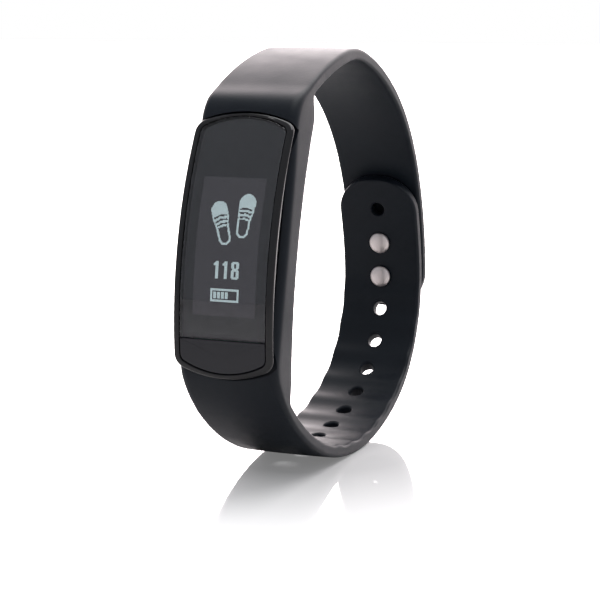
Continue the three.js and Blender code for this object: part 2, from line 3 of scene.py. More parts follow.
import bpy
import numpy as np
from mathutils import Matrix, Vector


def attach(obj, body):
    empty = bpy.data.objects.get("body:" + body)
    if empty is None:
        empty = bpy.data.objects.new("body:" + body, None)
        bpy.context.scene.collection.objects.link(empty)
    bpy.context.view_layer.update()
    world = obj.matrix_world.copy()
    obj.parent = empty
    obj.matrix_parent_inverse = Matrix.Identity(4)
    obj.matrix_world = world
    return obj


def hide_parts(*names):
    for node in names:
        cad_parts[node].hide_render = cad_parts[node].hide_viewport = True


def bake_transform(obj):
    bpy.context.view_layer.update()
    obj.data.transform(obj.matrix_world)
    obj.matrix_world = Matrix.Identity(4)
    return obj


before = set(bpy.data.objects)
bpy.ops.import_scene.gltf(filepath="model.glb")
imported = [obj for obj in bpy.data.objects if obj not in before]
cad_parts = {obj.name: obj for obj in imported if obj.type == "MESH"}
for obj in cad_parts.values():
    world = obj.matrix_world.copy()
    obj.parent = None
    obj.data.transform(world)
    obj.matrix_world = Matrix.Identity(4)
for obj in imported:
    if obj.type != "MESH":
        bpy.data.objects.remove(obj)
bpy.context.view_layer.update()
scene = bpy.context.scene
millimetre = 0.001
print("frame loaded:", len(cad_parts), "nodes")

# the strap's two lines, seen from the side; y grows towards the clasp, z is up
strapShape = {
    "thickness": 2.2,
    "frameWidth": 17.3,
    "tipWidth": 15.4,
    "endRound": 0.45,  # radius of an end, as a share of the strap's width
    "endRoll": 0.45,
    "endLength": 8.0,
    "lapGap": 0.4,
    "lapLean": -2.3,
    "claspTip": 10.3,
    "chinTurn": 39.5,
    "frameBelow": 20.0,
    "frameAbove": 22.7,
    "frameFront": 4.1,
    "restFlat": 0.2,
    "tongueArcs": ((29.5, 21.3), (48.5, 68.9), (24.4, 71.8), (66.0, 14.8)),
    "claspArcs": ((52.0, 32.5), (39.0, 28.0), (51.0, 21.5), (21.0, 22.0)),
    "holeCount": 12,
    "holePitch": 7.0,
    "holeWidth": 2.6,
    "firstHole": 6.5,
    "upperStudHole": 1,
}

trackerShape = {
    "faceRadius": 62.0,
    "crown": (-37.3, 42.0),
    "lean": 13.45,
    "bezel": (17.3, 43.0, 2.0, 2.3),  # width, length, bow of the ends, corner
    "lens": (14.85, 41.4, 2.0, 1.3),
    "body": (14.4, 39.0, 3.0),
    "rimGap": 0.12,
    "bezelDrop": 3.8,
    "bezelThickness": 2.2,
    "splitDepth": 7.0,
    "coverDepth": 11.3,
    "frameInnerDepth": 10.0,
    "frameInnerRadius": 105.0,
}


def radians(angle):
    return math.radians(angle)


leanAngle = radians(trackerShape["lean"])
faceRadius = trackerShape["faceRadius"]
crownY, crownZ = trackerShape["crown"]


def trackerToSide(depth, along):
    # a point on the tracker, by its depth under the face and its height along it
    y = crownY + depth * math.cos(leanAngle) + along * math.sin(leanAngle)
    z = crownZ - depth * math.sin(leanAngle) + along * math.cos(leanAngle)
    return y, z


def faceDrop(along, radius=faceRadius):
    return radius - math.sqrt(radius * radius - along * along)


class ArcLine:
    # a chain of tangent arcs, read by the distance along it
    def __init__(self, start, heading, arcs):
        self.parts = []
        self.length = 0.0
        self.end = (start[0], start[1], heading)
        for radius, sweep in arcs:
            self.addArc(radius, radians(sweep))

    def addArc(self, radius, sweep):
        y, z, heading = self.end
        self.parts.append((self.length, y, z, heading, radius))
        self.length += radius * sweep
        self.end = self.at(self.length)

    def closeTo(self, target):
        y, z, heading = self.end
        dy, dz = target[0] - y, target[1] - z
        turn = math.atan2(dz, dy) - heading
        half = math.atan2(math.sin(turn), math.cos(turn))
        self.addArc(math.hypot(dy, dz) / (2 * math.sin(half)), 2 * half)

    def at(self, distance):
        found = [p for p in self.parts if p[0] <= distance] or self.parts[:1]
        start, y, z, heading, radius = found[-1]
        turn = (distance - start) / radius
        chord = 2 * radius * math.sin(turn / 2)
        middle = heading + turn / 2
        return y + chord * math.cos(middle), z + chord * math.sin(middle), heading + turn

    def under(self, distance, depth):
        y, z, heading = self.at(distance)
        return y - depth * math.sin(heading), z + depth * math.cos(heading)

    def nearest(self, point):
        steps = np.arange(0, self.length, 0.05)
        gaps = [math.hypot(self.at(s)[0] - point[0], self.at(s)[1] - point[1]) for s in steps]
        return float(steps[int(np.argmin(gaps))])


tongueLine = ArcLine(
    trackerToSide(strapShape["frameFront"], -strapShape["frameBelow"]),
    -math.pi / 2 - leanAngle + radians(strapShape["chinTurn"]),
    strapShape["tongueArcs"],
)
claspMiddle = (
    tongueLine.length
    - strapShape["firstHole"]
    - (strapShape["upperStudHole"] + 0.5) * strapShape["holePitch"]
)
lapPoint = tongueLine.under(claspMiddle, -(strapShape["thickness"] + strapShape["lapGap"]))
lapHeading = tongueLine.at(claspMiddle)[2] + radians(strapShape["lapLean"])
claspStart = ArcLine(lapPoint, lapHeading, strapShape["claspArcs"]).at(-strapShape["claspTip"])
claspLine = ArcLine(claspStart[:2], claspStart[2], strapShape["claspArcs"])
claspLine.closeTo(trackerToSide(strapShape["frameFront"], strapShape["frameAbove"]))

# the row's origin is on the ground, under the middle of the loop
foremost = crownY - faceRadius * (1 - math.cos(leanAngle))
rearmost = max(claspLine.at(s)[0] for s in np.arange(0, claspLine.length, 0.05))
lowest = min(tongueLine.at(s)[1] for s in np.arange(0, tongueLine.length, 0.05))
standing = np.array([0.0, -(foremost + rearmost) / 2, -(lowest + strapShape["restFlat"])])


def widthAt(y):
    start, end = tongueLine.at(0)[0], claspStart[0]
    share = min(max((y - start) / (end - start), 0.0), 1.0)
    return strapShape["frameWidth"] + share * (strapShape["tipWidth"] - strapShape["frameWidth"])


# ---- mesh helpers ----


def makeMesh(name, points, faces, material, sharpAngle=32.0):
    data = bpy.data.meshes.new(name)
    placed = (np.array(points, float) + standing) * millimetre
    data.from_pydata(placed.tolist(), [], [list(f) for f in faces])
    data.materials.append(material)
    piece = bpy.data.objects.new(name, data)
    scene.collection.objects.link(piece)
    turnFacesOut(data)
    smooth(data, sharpAngle)
    return piece


def turnFacesOut(data):
    import bmesh

    work = bmesh.new()
    work.from_mesh(data)
    bmesh.ops.recalc_face_normals(work, faces=work.faces)
    work.to_mesh(data)
    work.free()


def smooth(data, sharpAngle):
    data.polygons.foreach_set("use_smooth", [True] * len(data.polygons))
    data.set_sharp_from_angle(angle=radians(sharpAngle))


def bridge(ringCount, ringSize, first=0, closed=True):
    # quads between rings of points that lie one after another
    faces = []
    last = ringSize if closed else ringSize - 1
    for i in range(ringCount - 1):
        for j in range(last):
            k = (j + 1) % ringSize
            a, b = first + i * ringSize, first + (i + 1) * ringSize
            faces.append((a + j, a + k, b + k, b + j))
    return faces


def loftRings(rings, capStart=True, capEnd=True):
    size = len(rings[0])
    points = [p for ring in rings for p in ring]
    faces = bridge(len(rings), size)
    if capStart:
        faces.append(tuple(range(size))[::-1])
    if capEnd:
        faces.append(tuple(range(len(points) - size, len(points))))
    return points, faces


def roundedPlan(width, length, corner, perSide=30, perCorner=8):
    x, z = width / 2 - corner, length / 2 - corner
    points = []
    for cx, cz, start in ((x, z, 0), (-x, z, 90), (-x, -z, 180), (x, -z, 270)):
        for i in range(perCorner + 1):
            turn = radians(start + 90 * i / perCorner)
            points.append((cx + corner * math.cos(turn), cz + corner * math.sin(turn)))
    return spread(points, perSide)


def bowedPlan(width, length, sagitta, corner, perSide=30, perCorner=8):
    half = width / 2
    bow = (half * half + sagitta * sagitta) / (2 * sagitta)
    centre = length / 2 - bow
    cornerX = half - corner
    cornerZ = centre + math.sqrt((bow - corner) ** 2 - cornerX**2)
    tilt = math.atan2(cornerZ - centre, cornerX)
    points = []
    for side in (1, -1):  # the upper end, then the lower one by half a turn
        end = []
        for i in range(perCorner + 1):
            turn = tilt * i / perCorner
            end.append((cornerX + corner * math.cos(turn), cornerZ + corner * math.sin(turn)))
        for i in range(1, perSide):
            turn = tilt + (math.pi - 2 * tilt) * i / perSide
            end.append((bow * math.cos(turn), centre + bow * math.sin(turn)))
        for i in range(perCorner + 1):
            turn = math.pi - tilt + tilt * i / perCorner
            end.append((-cornerX + corner * math.cos(turn), cornerZ + corner * math.sin(turn)))
        points += [(side * x, side * z) for x, z in end]
    return spread(points, perSide)


def spread(points, perSide):
    # divides the two long sides, which the corners leave as single steps
    out = []
    for i, (x0, z0) in enumerate(points):
        x1, z1 = points[(i + 1) % len(points)]
        out.append((x0, z0))
        steps = perSide if math.hypot(x1 - x0, z1 - z0) > 5.0 else 1
        for k in range(1, steps):
            out.append((x0 + (x1 - x0) * k / steps, z0 + (z1 - z0) * k / steps))
    return np.array(out)


def inwardNormals(plan):
    after, before = np.roll(plan, -1, 0), np.roll(plan, 1, 0)
    along = after - before
    along /= np.linalg.norm(along, axis=1)[:, None] + 1e-12
    return np.stack([-along[:, 1], along[:, 0]], 1)


def onTracker(x, depth, along):
    y, z = trackerToSide(depth, along)
    return x, y, z


def trackerRing(plan, depths):
    return [onTracker(x, d, z) for (x, z), d in zip(plan, depths)]


def lidFaces(plan, height, layers=18, middle=None):
    # fills a plan with ever smaller copies of itself, on a curved surface
    centre = plan.mean(0) if middle is None else np.array(middle)
    rings = []
    for i in range(1, layers):
        part = centre + (plan - centre) * (1 - i / layers)
        rings.append(trackerRing(part, [height(z) for _, z in part]))
    tip = onTracker(centre[0], height(centre[1]), centre[1])
    return rings, tip


def closedPebble(layersOfRings, plan, heightTop, heightBottom):
    # walls given as rings, closed above and below by curved lids
    topRings, topTip = lidFaces(plan[0], heightTop)
    lowRings, lowTip = lidFaces(plan[1], heightBottom)
    rings = lowRings[::-1] + layersOfRings + topRings
    points, faces = loftRings(rings, False, False)
    size = len(rings[0])
    points.append(lowTip)
    points.append(topTip)
    low, top = len(points) - 2, len(points) - 1
    lastRing = (len(rings) - 1) * size
    for j in range(size):
        k = (j + 1) % size
        faces.append((k, j, low))
        faces.append((lastRing + j, lastRing + k, top))
    return points, faces


# ---- materials ----


def shaderGroup(name, inputs, outputs):
    group = bpy.data.node_groups.new(name, "ShaderNodeTree")
    for label, kind, value in inputs:
        socket = group.interface.new_socket(name=label, in_out="INPUT", socket_type=kind)
        socket.default_value = value
    for label, kind in outputs:
        group.interface.new_socket(name=label, in_out="OUTPUT", socket_type=kind)
    start = group.nodes.new("NodeGroupInput")
    end = group.nodes.new("NodeGroupOutput")
    return group, start, end


def noiseNode(tree, scale, detail=3.0, roughness=0.55):
    node = tree.nodes.new("ShaderNodeTexNoise")
    node.inputs["Scale"].default_value = scale
    node.inputs["Detail"].default_value = detail
    node.inputs["Roughness"].default_value = roughness
    return node


def mathNode(tree, operation, first, second):
    node = tree.nodes.new("ShaderNodeMath")
    node.operation = operation
    for socket, value in zip(node.inputs, (first, second)):
        if isinstance(value, (int, float)):
            socket.default_value = value
        else:
            tree.links.new(value, socket)
    return node.outputs[0]


def rangeNode(tree, value, fromMin, fromMax, toMin, toMax):
    node = tree.nodes.new("ShaderNodeMapRange")
    tree.links.new(value, node.inputs["Value"])
    for label, number in zip(
        ("From Min", "From Max", "To Min", "To Max"), (fromMin, fromMax, toMin, toMax)
    ):
        node.inputs[label].default_value = number
    return node.outputs["Result"]


def makeGrainGroup():
    # fine stipple of a moulded surface, with a slow unevenness under it
    group, start, end = shaderGroup(
        "mouldedGrain",
        [("Vector", "NodeSocketVector", (0, 0, 0)), ("Fine", "NodeSocketFloat", 2600.0),
         ("Slow", "NodeSocketFloat", 120.0)],
        [("Height", "NodeSocketFloat"), ("Patch", "NodeSocketFloat")],
    )
    fine = noiseNode(group, 1.0, 2.0)
    slow = noiseNode(group, 1.0, 4.0)
    for node, label in ((fine, "Fine"), (slow, "Slow")):
        group.links.new(start.outputs["Vector"], node.inputs["Vector"])
        group.links.new(start.outputs[label], node.inputs["Scale"])
    group.links.new(mathNode(group, "ADD", fine.outputs["Fac"],
                             mathNode(group, "MULTIPLY", slow.outputs["Fac"], 0.8)),
                    end.inputs["Height"])
    group.links.new(slow.outputs["Fac"], end.inputs["Patch"])
    return group


def makeSpeckGroup():
    # sparse dust: tiny pale points, more of them in some places than in others
    group, start, end = shaderGroup(
        "dustSpecks",
        [("Vector", "NodeSocketVector", (0, 0, 0)), ("Scale", "NodeSocketFloat", 900.0),
         ("Size", "NodeSocketFloat", 0.09)],
        [("Mask", "NodeSocketFloat")],
    )
    cells = group.nodes.new("ShaderNodeTexVoronoi")
    group.links.new(start.outputs["Vector"], cells.inputs["Vector"])
    group.links.new(start.outputs["Scale"], cells.inputs["Scale"])
    near = mathNode(group, "LESS_THAN", cells.outputs["Distance"], start.outputs["Size"])
    place = noiseNode(group, 140.0, 2.0)
    group.links.new(start.outputs["Vector"], place.inputs["Vector"])
    rare = mathNode(group, "GREATER_THAN", place.outputs["Fac"], 0.56)
    group.links.new(mathNode(group, "MULTIPLY", near, rare), end.inputs["Mask"])
    return group


def makeSmudgeGroup():
    # where fingers have dulled a polished surface
    group, start, end = shaderGroup(
        "fingerSmudge",
        [("Vector", "NodeSocketVector", (0, 0, 0)), ("Scale", "NodeSocketFloat", 90.0),
         ("Clean", "NodeSocketFloat", 0.05), ("Dull", "NodeSocketFloat", 0.14)],
        [("Roughness", "NodeSocketFloat"), ("Mask", "NodeSocketFloat")],
    )
    cloud = noiseNode(group, 1.0, 5.0, 0.6)
    group.links.new(start.outputs["Vector"], cloud.inputs["Vector"])
    group.links.new(start.outputs["Scale"], cloud.inputs["Scale"])
    mask = rangeNode(group, cloud.outputs["Fac"], 0.45, 0.75, 0.0, 1.0)
    span = mathNode(group, "SUBTRACT", start.outputs["Dull"], start.outputs["Clean"])
    rough = mathNode(group, "ADD", start.outputs["Clean"], mathNode(group, "MULTIPLY", mask, span))
    group.links.new(rough, end.inputs["Roughness"])
    group.links.new(mask, end.inputs["Mask"])
    return group


grainGroup = makeGrainGroup()
speckGroup = makeSpeckGroup()
smudgeGroup = makeSmudgeGroup()


def newMaterial(name):
    material = bpy.data.materials.new(name)
    material.use_nodes = True
    tree = material.node_tree
    shader = tree.nodes["Principled BSDF"]
    place = tree.nodes.new("ShaderNodeTexCoord")
    return material, tree, shader, place.outputs["Object"]


def useGroup(tree, group, vector, **values):
    node = tree.nodes.new("ShaderNodeGroup")
    node.node_tree = group
    tree.links.new(vector, node.inputs["Vector"])
    for label, value in values.items():
        node.inputs[label].default_value = value
    return node


def mixColours(tree, factor, first, second):
    node = tree.nodes.new("ShaderNodeMix")
    node.data_type = "RGBA"
    tree.links.new(factor, node.inputs["Factor"])
    for socket, value in ((node.inputs["A"], first), (node.inputs["B"], second)):
        if isinstance(value, tuple):
            socket.default_value = (*value, 1.0)
        else:
            tree.links.new(value, socket)
    return node.outputs["Result"]


def addBump(tree, shader, height, strength, distance):
    bump = tree.nodes.new("ShaderNodeBump")
    bump.inputs["Strength"].default_value = strength
    bump.inputs["Distance"].default_value = distance
    tree.links.new(height, bump.inputs["Height"])
    tree.links.new(bump.outputs["Normal"], shader.inputs["Normal"])


def mouldedMaterial(name, dark, light, roughness, grain, bump, specks=None, specular=0.5):
    # rubber or moulded plastic: dark body, fine stipple, faint patches, maybe dust
    material, tree, shader, place = newMaterial(name)
    stipple = useGroup(tree, grainGroup, place, Fine=grain, Slow=110.0)
    patch = rangeNode(tree, stipple.outputs["Patch"], 0.35, 0.65, 0.0, 1.0)
    colour = mixColours(tree, patch, dark, light)
    if specks:
        dust = useGroup(tree, speckGroup, place, Scale=specks[0], Size=specks[1])
        colour = mixColours(tree, dust.outputs["Mask"], colour, specks[2])
    tree.links.new(colour, shader.inputs["Base Color"])
    rough = rangeNode(tree, stipple.outputs["Patch"], 0.3, 0.7, roughness - 0.05, roughness + 0.05)
    tree.links.new(rough, shader.inputs["Roughness"])
    shader.inputs["Specular IOR Level"].default_value = specular
    addBump(tree, shader, stipple.outputs["Height"], bump, 0.00004)
    return material


def polishedMaterial(name, colour, clean, dull, metallic=0.0, coat=0.0):
    # a polished surface with faint smudges, in plastic or metal
    material, tree, shader, place = newMaterial(name)
    smudge = useGroup(tree, smudgeGroup, place, Scale=95.0, Clean=clean, Dull=dull)
    tree.links.new(smudge.outputs["Roughness"], shader.inputs["Roughness"])
    paler = tuple(min(1.0, c * 1.12 + 0.002) for c in colour)
    tint = mixColours(tree, smudge.outputs["Mask"], colour, paler)
    tree.links.new(tint, shader.inputs["Base Color"])
    shader.inputs["Metallic"].default_value = metallic
    shader.inputs["Coat Weight"].default_value = coat
    return material


def turnedSteel(name, colour, roughness, centreScale):
    # metal with the fine marks of turning or brushing
    material, tree, shader, place = newMaterial(name)
    stretch = tree.nodes.new("ShaderNodeMapping")
    stretch.inputs["Scale"].default_value = centreScale
    tree.links.new(place, stretch.inputs["Vector"])
    marks = noiseNode(tree, 900.0, 3.0, 0.65)
    tree.links.new(stretch.outputs["Vector"], marks.inputs["Vector"])
    tint = mixColours(tree, marks.outputs["Fac"], tuple(0.9 * c for c in colour), colour)
    tree.links.new(tint, shader.inputs["Base Color"])
    tree.links.new(rangeNode(tree, marks.outputs["Fac"], 0.2, 0.8, roughness - 0.08,
                             roughness + 0.1), shader.inputs["Roughness"])
    shader.inputs["Metallic"].default_value = 1.0
    addBump(tree, shader, marks.outputs["Fac"], 0.12, 0.00002)
    return material


silicone = mouldedMaterial("siliconeStrap", (0.0058, 0.0086, 0.0130), (0.0085, 0.0120, 0.0170),
                           0.44, 2600.0, 0.3, (1300.0, 0.05, (0.02, 0.023, 0.028)), 0.22)
backPlastic = mouldedMaterial("backPlastic", (0.010, 0.011, 0.012), (0.016, 0.017, 0.018),
                              0.42, 3200.0, 0.3)
sealRubber = mouldedMaterial("sealRubber", (0.02, 0.02, 0.022), (0.035, 0.035, 0.037), 0.7,
                             1800.0, 0.3)
chipPlastic = mouldedMaterial("chipPlastic", (0.012, 0.012, 0.013), (0.022, 0.022, 0.023), 0.5,
                              4200.0, 0.4)
redSleeve = mouldedMaterial("redSleeve", (0.3, 0.015, 0.012), (0.42, 0.03, 0.022), 0.45,
                            2000.0, 0.2)
amberFilm = mouldedMaterial("amberFilm", (0.35, 0.12, 0.02), (0.45, 0.17, 0.03), 0.25,
                            1500.0, 0.1)
glossBlack = polishedMaterial("glossBezel", (0.004, 0.004, 0.0045), 0.05, 0.12)
keyGloss = polishedMaterial("keyGloss", (0.0085, 0.0092, 0.0135), 0.05, 0.11)
panelBlack = polishedMaterial("panelBlack", (0.006, 0.006, 0.008), 0.08, 0.2)
batteryFoil = polishedMaterial("batteryFoil", (0.62, 0.64, 0.66), 0.25, 0.45, 0.9)
goldPlate = polishedMaterial("goldPlate", (0.85, 0.6, 0.25), 0.16, 0.3, 1.0)
satinSteel = turnedSteel("satinSteel", (0.86, 0.78, 0.75), 0.42, (1.0, 0.05, 1.0))
canSteel = turnedSteel("canSteel", (0.62, 0.63, 0.65), 0.35, (1.0, 0.2, 1.0))


def boardMaterial():
    # solder mask with copper tracks showing through as paler lines
    material, tree, shader, place = newMaterial("greenBoard")
    tracks = tree.nodes.new("ShaderNodeTexVoronoi")
    tracks.distance = "MANHATTAN"
    tracks.feature = "F2"
    tracks.inputs["Scale"].default_value = 620.0
    tree.links.new(place, tracks.inputs["Vector"])
    line = rangeNode(tree, tracks.outputs["Distance"], 0.55, 0.6, 0.0, 1.0)
    tree.links.new(mixColours(tree, line, (0.006, 0.05, 0.02), (0.012, 0.085, 0.035)),
                   shader.inputs["Base Color"])
    shader.inputs["Roughness"].default_value = 0.32
    addBump(tree, shader, line, 0.4, 0.00003)
    return material


def smokedGlassMaterial():
    material, tree, shader, place = newMaterial("smokedGlass")
    smudge = useGroup(tree, smudgeGroup, place, Scale=80.0, Clean=0.015, Dull=0.035)
    tree.links.new(smudge.outputs["Roughness"], shader.inputs["Roughness"])
    shader.inputs["Base Color"].default_value = (0.78, 0.79, 0.82, 1.0)
    shader.inputs["Transmission Weight"].default_value = 1.0
    shader.inputs["IOR"].default_value = 1.5
    return material


boardGreen = boardMaterial()
smokedGlass = smokedGlassMaterial()
print("materials made")

# ---- straps ----

sectionShape = {
    "edgeWide": 0.75,  # rounding of the outer edges, across and into the strap
    "edgeDeep": 0.65,
    "innerWide": 0.55,
    "innerDeep": 0.5,
    "frameEdgeWide": 1.55,  # the softer front edges beside the tracker
    "frameEdgeDeep": 1.7,
    "frameInnerWide": 0.9,
    "frameInnerDeep": 0.9,
    "crown": 0.12,  # the outside is very slightly domed across
    "ridge": 0.3,  # low ridges across the inside, between the holes
    # the ridges start before the last hole and end after the first, and fade there
    "ridgeFade": (4.0, 6.0, 12.0, 8.0),
    "faceSteps": 26,
    "cornerSteps": 7,
    "wallSteps": 5,
}


def sectionRing(half, thick, edges, inset=0.0):
    # across the strap and into it: the outside, one wall, the inside, the other wall
    outWide, outDeep, inWide, inDeep = edges
    half -= inset
    outWide, inWide = min(outWide, half * 0.95), min(inWide, half * 0.95)
    low, high = inset, thick - inset
    outDeep, inDeep = min(outDeep, (high - low) * 0.45), min(inDeep, (high - low) * 0.45)
    shape = sectionShape
    right = []
    for i in range(shape["faceSteps"] // 2 + 1):
        right.append(((half - outWide) * i / (shape["faceSteps"] // 2), low))
    for i in range(1, shape["cornerSteps"] + 1):
        turn = math.pi / 2 * i / shape["cornerSteps"]
        right.append((half - outWide + outWide * math.sin(turn),
                      low + outDeep - outDeep * math.cos(turn)))
    for i in range(1, shape["wallSteps"] + 1):
        right.append((half, low + outDeep + (high - inDeep - low - outDeep) * i
                      / shape["wallSteps"]))
    for i in range(1, shape["cornerSteps"] + 1):
        turn = math.pi / 2 * i / shape["cornerSteps"]
        right.append((half - inWide + inWide * math.cos(turn), high - inDeep
                      + inDeep * math.sin(turn)))
    for i in range(1, shape["faceSteps"] // 2 + 1):
        right.append(((half - inWide) * (1 - i / (shape["faceSteps"] // 2)), high))
    crown = shape["crown"]
    right = [(x, d + crown * (x / half) ** 2 * max(0.0, 1 - d / thick)) for x, d in right]
    left = [(-x, d) for x, d in right[1:-1]][::-1]
    return right + left


def stationRing(station):
    outer, inner, edges, inset = station
    dy, dz = inner[0] - outer[0], inner[1] - outer[1]
    thick = math.hypot(dy, dz)
    half = widthAt(outer[0]) / 2 - stationShrink.get(id(station), 0.0)
    ring = []
    for x, d in sectionRing(half, thick, edges, inset):
        y, z = outer[0] + dy * d / thick, outer[1] + dz * d / thick
        ring.append((x, y, z))
    return ring


stationShrink = {}


def blendEdges(share):
    # the strap's edges turn into the frame's softer ones
    shape = sectionShape
    share = min(max(share, 0.0), 1.0)
    share = share * share * (3 - 2 * share)
    pairs = (("edgeWide", "frameEdgeWide"), ("edgeDeep", "frameEdgeDeep"),
             ("innerWide", "frameInnerWide"), ("innerDeep", "frameInnerDeep"))
    return tuple(shape[a] + (shape[b] - shape[a]) * share for a, b in pairs)


def bezier(p0, p1, p2, p3, t):
    a, b, c, d = (1 - t) ** 3, 3 * t * (1 - t) ** 2, 3 * t * t * (1 - t), t**3
    return (a * p0[0] + b * p1[0] + c * p2[0] + d * p3[0],
            a * p0[1] + b * p1[1] + c * p2[1] + d * p3[1])


firstHoleAt = tongueLine.length - strapShape["firstHole"]
lastHoleAt = firstHoleAt - (strapShape["holeCount"] - 1) * strapShape["holePitch"]

bandPath = {
    "stubFrom": 93.0,  # along the clasp strap, where the band's own moulding starts
    "topCorner": 21.0,  # heights on the tracker between which the frame's inside is one arc
    "lowCorner": -20.2,
    "topHandles": (2.2, 2.6),  # of the curves that join the frame's inside to the straps'
    "chinHandles": (4.2, 4.6),
    "step": 0.1,
    "cornerSwell": 0.8,
    "swellReach": 6.5,
    "swellRise": 7.0,
    "topRoll": 3.2,  # how widely the frame's corners are averaged
    "chinRoll": 1.6,
    "rampEnd": 12.5,  # along the perforated strap, where the frame has thinned out
}


def frameOuter():
    # the outside from the stub to below the chin, both its corners rolled over softly
    start, step = bandPath["stubFrom"], bandPath["step"]
    path = [claspLine.at(s)[:2] for s in steps(start, claspLine.length, step)]
    top, bottom = strapShape["frameAbove"], -strapShape["frameBelow"]
    path += [trackerToSide(strapShape["frameFront"], z) for z in steps(top, bottom, step)[1:]]
    path += [tongueLine.at(s)[:2] for s in steps(0.0, bandPath["rampEnd"], step)[1:]]
    path = np.array(path)
    reach = (np.arange(len(path)) - (claspLine.length - start) / step) * step
    width = np.where(reach < top, bandPath["topRoll"] / step, bandPath["chinRoll"] / step)
    width = width.astype(int)
    for _ in range(2):
        total = np.cumsum(np.vstack([[0, 0], path]), 0)
        count = len(path)
        half = np.minimum(width, np.minimum(np.arange(count), count - 1 - np.arange(count)))
        first, last = np.arange(count) - half, np.arange(count) + half + 1
        path = (total[last] - total[first]) / (last - first)[:, None]
    # the upper corner stands a little proud, almost level with the tracker's face
    swell = bandPath["cornerSwell"] * np.exp(-((reach / bandPath["swellReach"]) ** 2))
    rise = np.clip((reach + claspLine.length - start) / bandPath["swellRise"], 0.0, 1.0)
    swell *= rise * rise * (3 - 2 * rise)
    along = np.gradient(path, axis=0)
    along /= np.linalg.norm(along, axis=1)[:, None]
    return path + swell[:, None] * np.stack([along[:, 1], -along[:, 0]], 1)


def frameInner(along):
    depth = trackerShape["frameInnerDepth"] + faceDrop(along, trackerShape["frameInnerRadius"])
    return trackerToSide(depth, along)


def steps(start, end, size):
    count = max(2, int(round(abs(end - start) / size)))
    return [start + (end - start) * i / count for i in range(count + 1)]


def ridgeAt(distance):
    # thickness added inside, highest half way between two holes
    before, fadeIn, after, fadeOut = sectionShape["ridgeFade"]
    fade = min(max((distance - lastHoleAt + before) / fadeIn, 0.0), 1.0)
    fade *= min(max((firstHoleAt - after - distance) / fadeOut, 0.0), 1.0)
    phase = math.pi * (distance - firstHoleAt) / strapShape["holePitch"]
    return sectionShape["ridge"] * fade * abs(math.sin(phase)) ** 3


def bandStations():
    thickness = strapShape["thickness"]
    stations = []
    # the stub of the clasp strap, thickening into the frame
    start, end = bandPath["stubFrom"], claspLine.length
    bendFrom = claspLine.under(start, thickness)
    heading = claspLine.at(start)[2]
    corner = frameInner(bandPath["topCorner"])
    reach, beyond = bandPath["topHandles"]
    nearCorner = frameInner(bandPath["topCorner"] + beyond)
    handle = (bendFrom[0] + reach * math.cos(heading), bendFrom[1] + reach * math.sin(heading))
    outside = frameOuter()
    stubCount = int(round((end - start) / bandPath["step"]))
    for i in range(0, stubCount + 1, 3):
        t = i / stubCount
        inner = bezier(bendFrom, handle, nearCorner, corner, t)
        stations.append((tuple(outside[i]), inner, blendEdges(t), 0.0))
    # the frame beside the tracker
    besideEnds = strapShape["frameAbove"], -strapShape["frameBelow"]
    besideCount = len(steps(*besideEnds, bandPath["step"])) - 1
    beside = outside[stubCount : stubCount + besideCount + 1]
    for i in list(range(3, 60, 3)) + list(range(60, len(beside) - 1, 6)) + [len(beside) - 1]:
        t = i / (len(beside) - 1)
        inner = frameInner(bandPath["topCorner"] + t * (bandPath["lowCorner"]
                                                        - bandPath["topCorner"]))
        stations.append((tuple(beside[i]), inner, blendEdges(1.0), 0.0))
    # the chin, thinning into the perforated strap
    rampEnd = bandPath["rampEnd"]
    corner = frameInner(bandPath["lowCorner"])
    reach, beyond = bandPath["chinHandles"]
    nearCorner = frameInner(bandPath["lowCorner"] - beyond)
    bendTo = tongueLine.under(rampEnd, thickness)
    heading = tongueLine.at(rampEnd)[2]
    handle = (bendTo[0] - reach * math.cos(heading), bendTo[1] - reach * math.sin(heading))
    chin = outside[stubCount + besideCount :]
    for i in range(3, len(chin), 3 if len(chin) % 3 == 1 else 1):
        t = i / (len(chin) - 1)
        inner = bezier(corner, nearCorner, handle, bendTo, t)
        stations.append((tuple(chin[i]), inner, blendEdges(1 - t), 0.0))
    tipStart = tongueLine.length - strapShape["endLength"]
    for s in steps(rampEnd, tipStart, strapStep)[1:]:
        inner = tongueLine.under(s, thickness + ridgeAt(s))
        stations.append((tongueLine.at(s)[:2], inner, blendEdges(0.0), 0.0))
    return stations + endStations(tongueLine, tipStart, tongueLine.length)


def endStations(line, start, end):
    # a strap's end: rounded in plan, and its edges rolled over
    thickness = strapShape["thickness"]
    side = 1 if end > start else -1
    half = widthAt(line.at(end)[0]) / 2
    radius = 2 * half * strapShape["endRound"]
    roll = strapShape["endRoll"]
    stations = []
    count = 22
    for i in range(1, count + 1):
        s = start + (end - side * roll - start) * math.sin(math.pi / 2 * i / count)
        stations.append(endStation(line, s, end, radius, thickness, 0.0))
    for i in range(1, 6):
        turn = math.pi / 2 * i / 5
        s = end - side * roll * (1 - math.sin(turn))
        stations.append(endStation(line, s, end, radius, thickness, roll * (1 - math.cos(turn))))
    return stations


def endStation(line, s, end, radius, thickness, inset):
    near = max(0.0, radius - abs(end - s))
    shrink = radius - math.sqrt(max(0.0, radius * radius - near * near))
    station = (line.at(s)[:2], line.under(s, thickness), blendEdges(0.0), min(inset, 0.6))
    stationShrink[id(station)] = min(shrink, radius - 0.2)
    return station


def strapPiece(name, stations):
    points, faces = loftRings([stationRing(s) for s in stations])
    return makeMesh(name, points, faces, silicone, softAngle)


def claspStations(start, end):
    thickness = strapShape["thickness"]
    return [(claspLine.at(s)[:2], claspLine.under(s, thickness), blendEdges(0.0), 0.0)
            for s in steps(start, end, strapStep)]


strapStep = 0.5
softAngle = 38.0  # the straps stay sharp only where they bend by more than this
claspCut = {"tipSeam": 66.5}  # along the clasp strap, where its two visible pieces meet

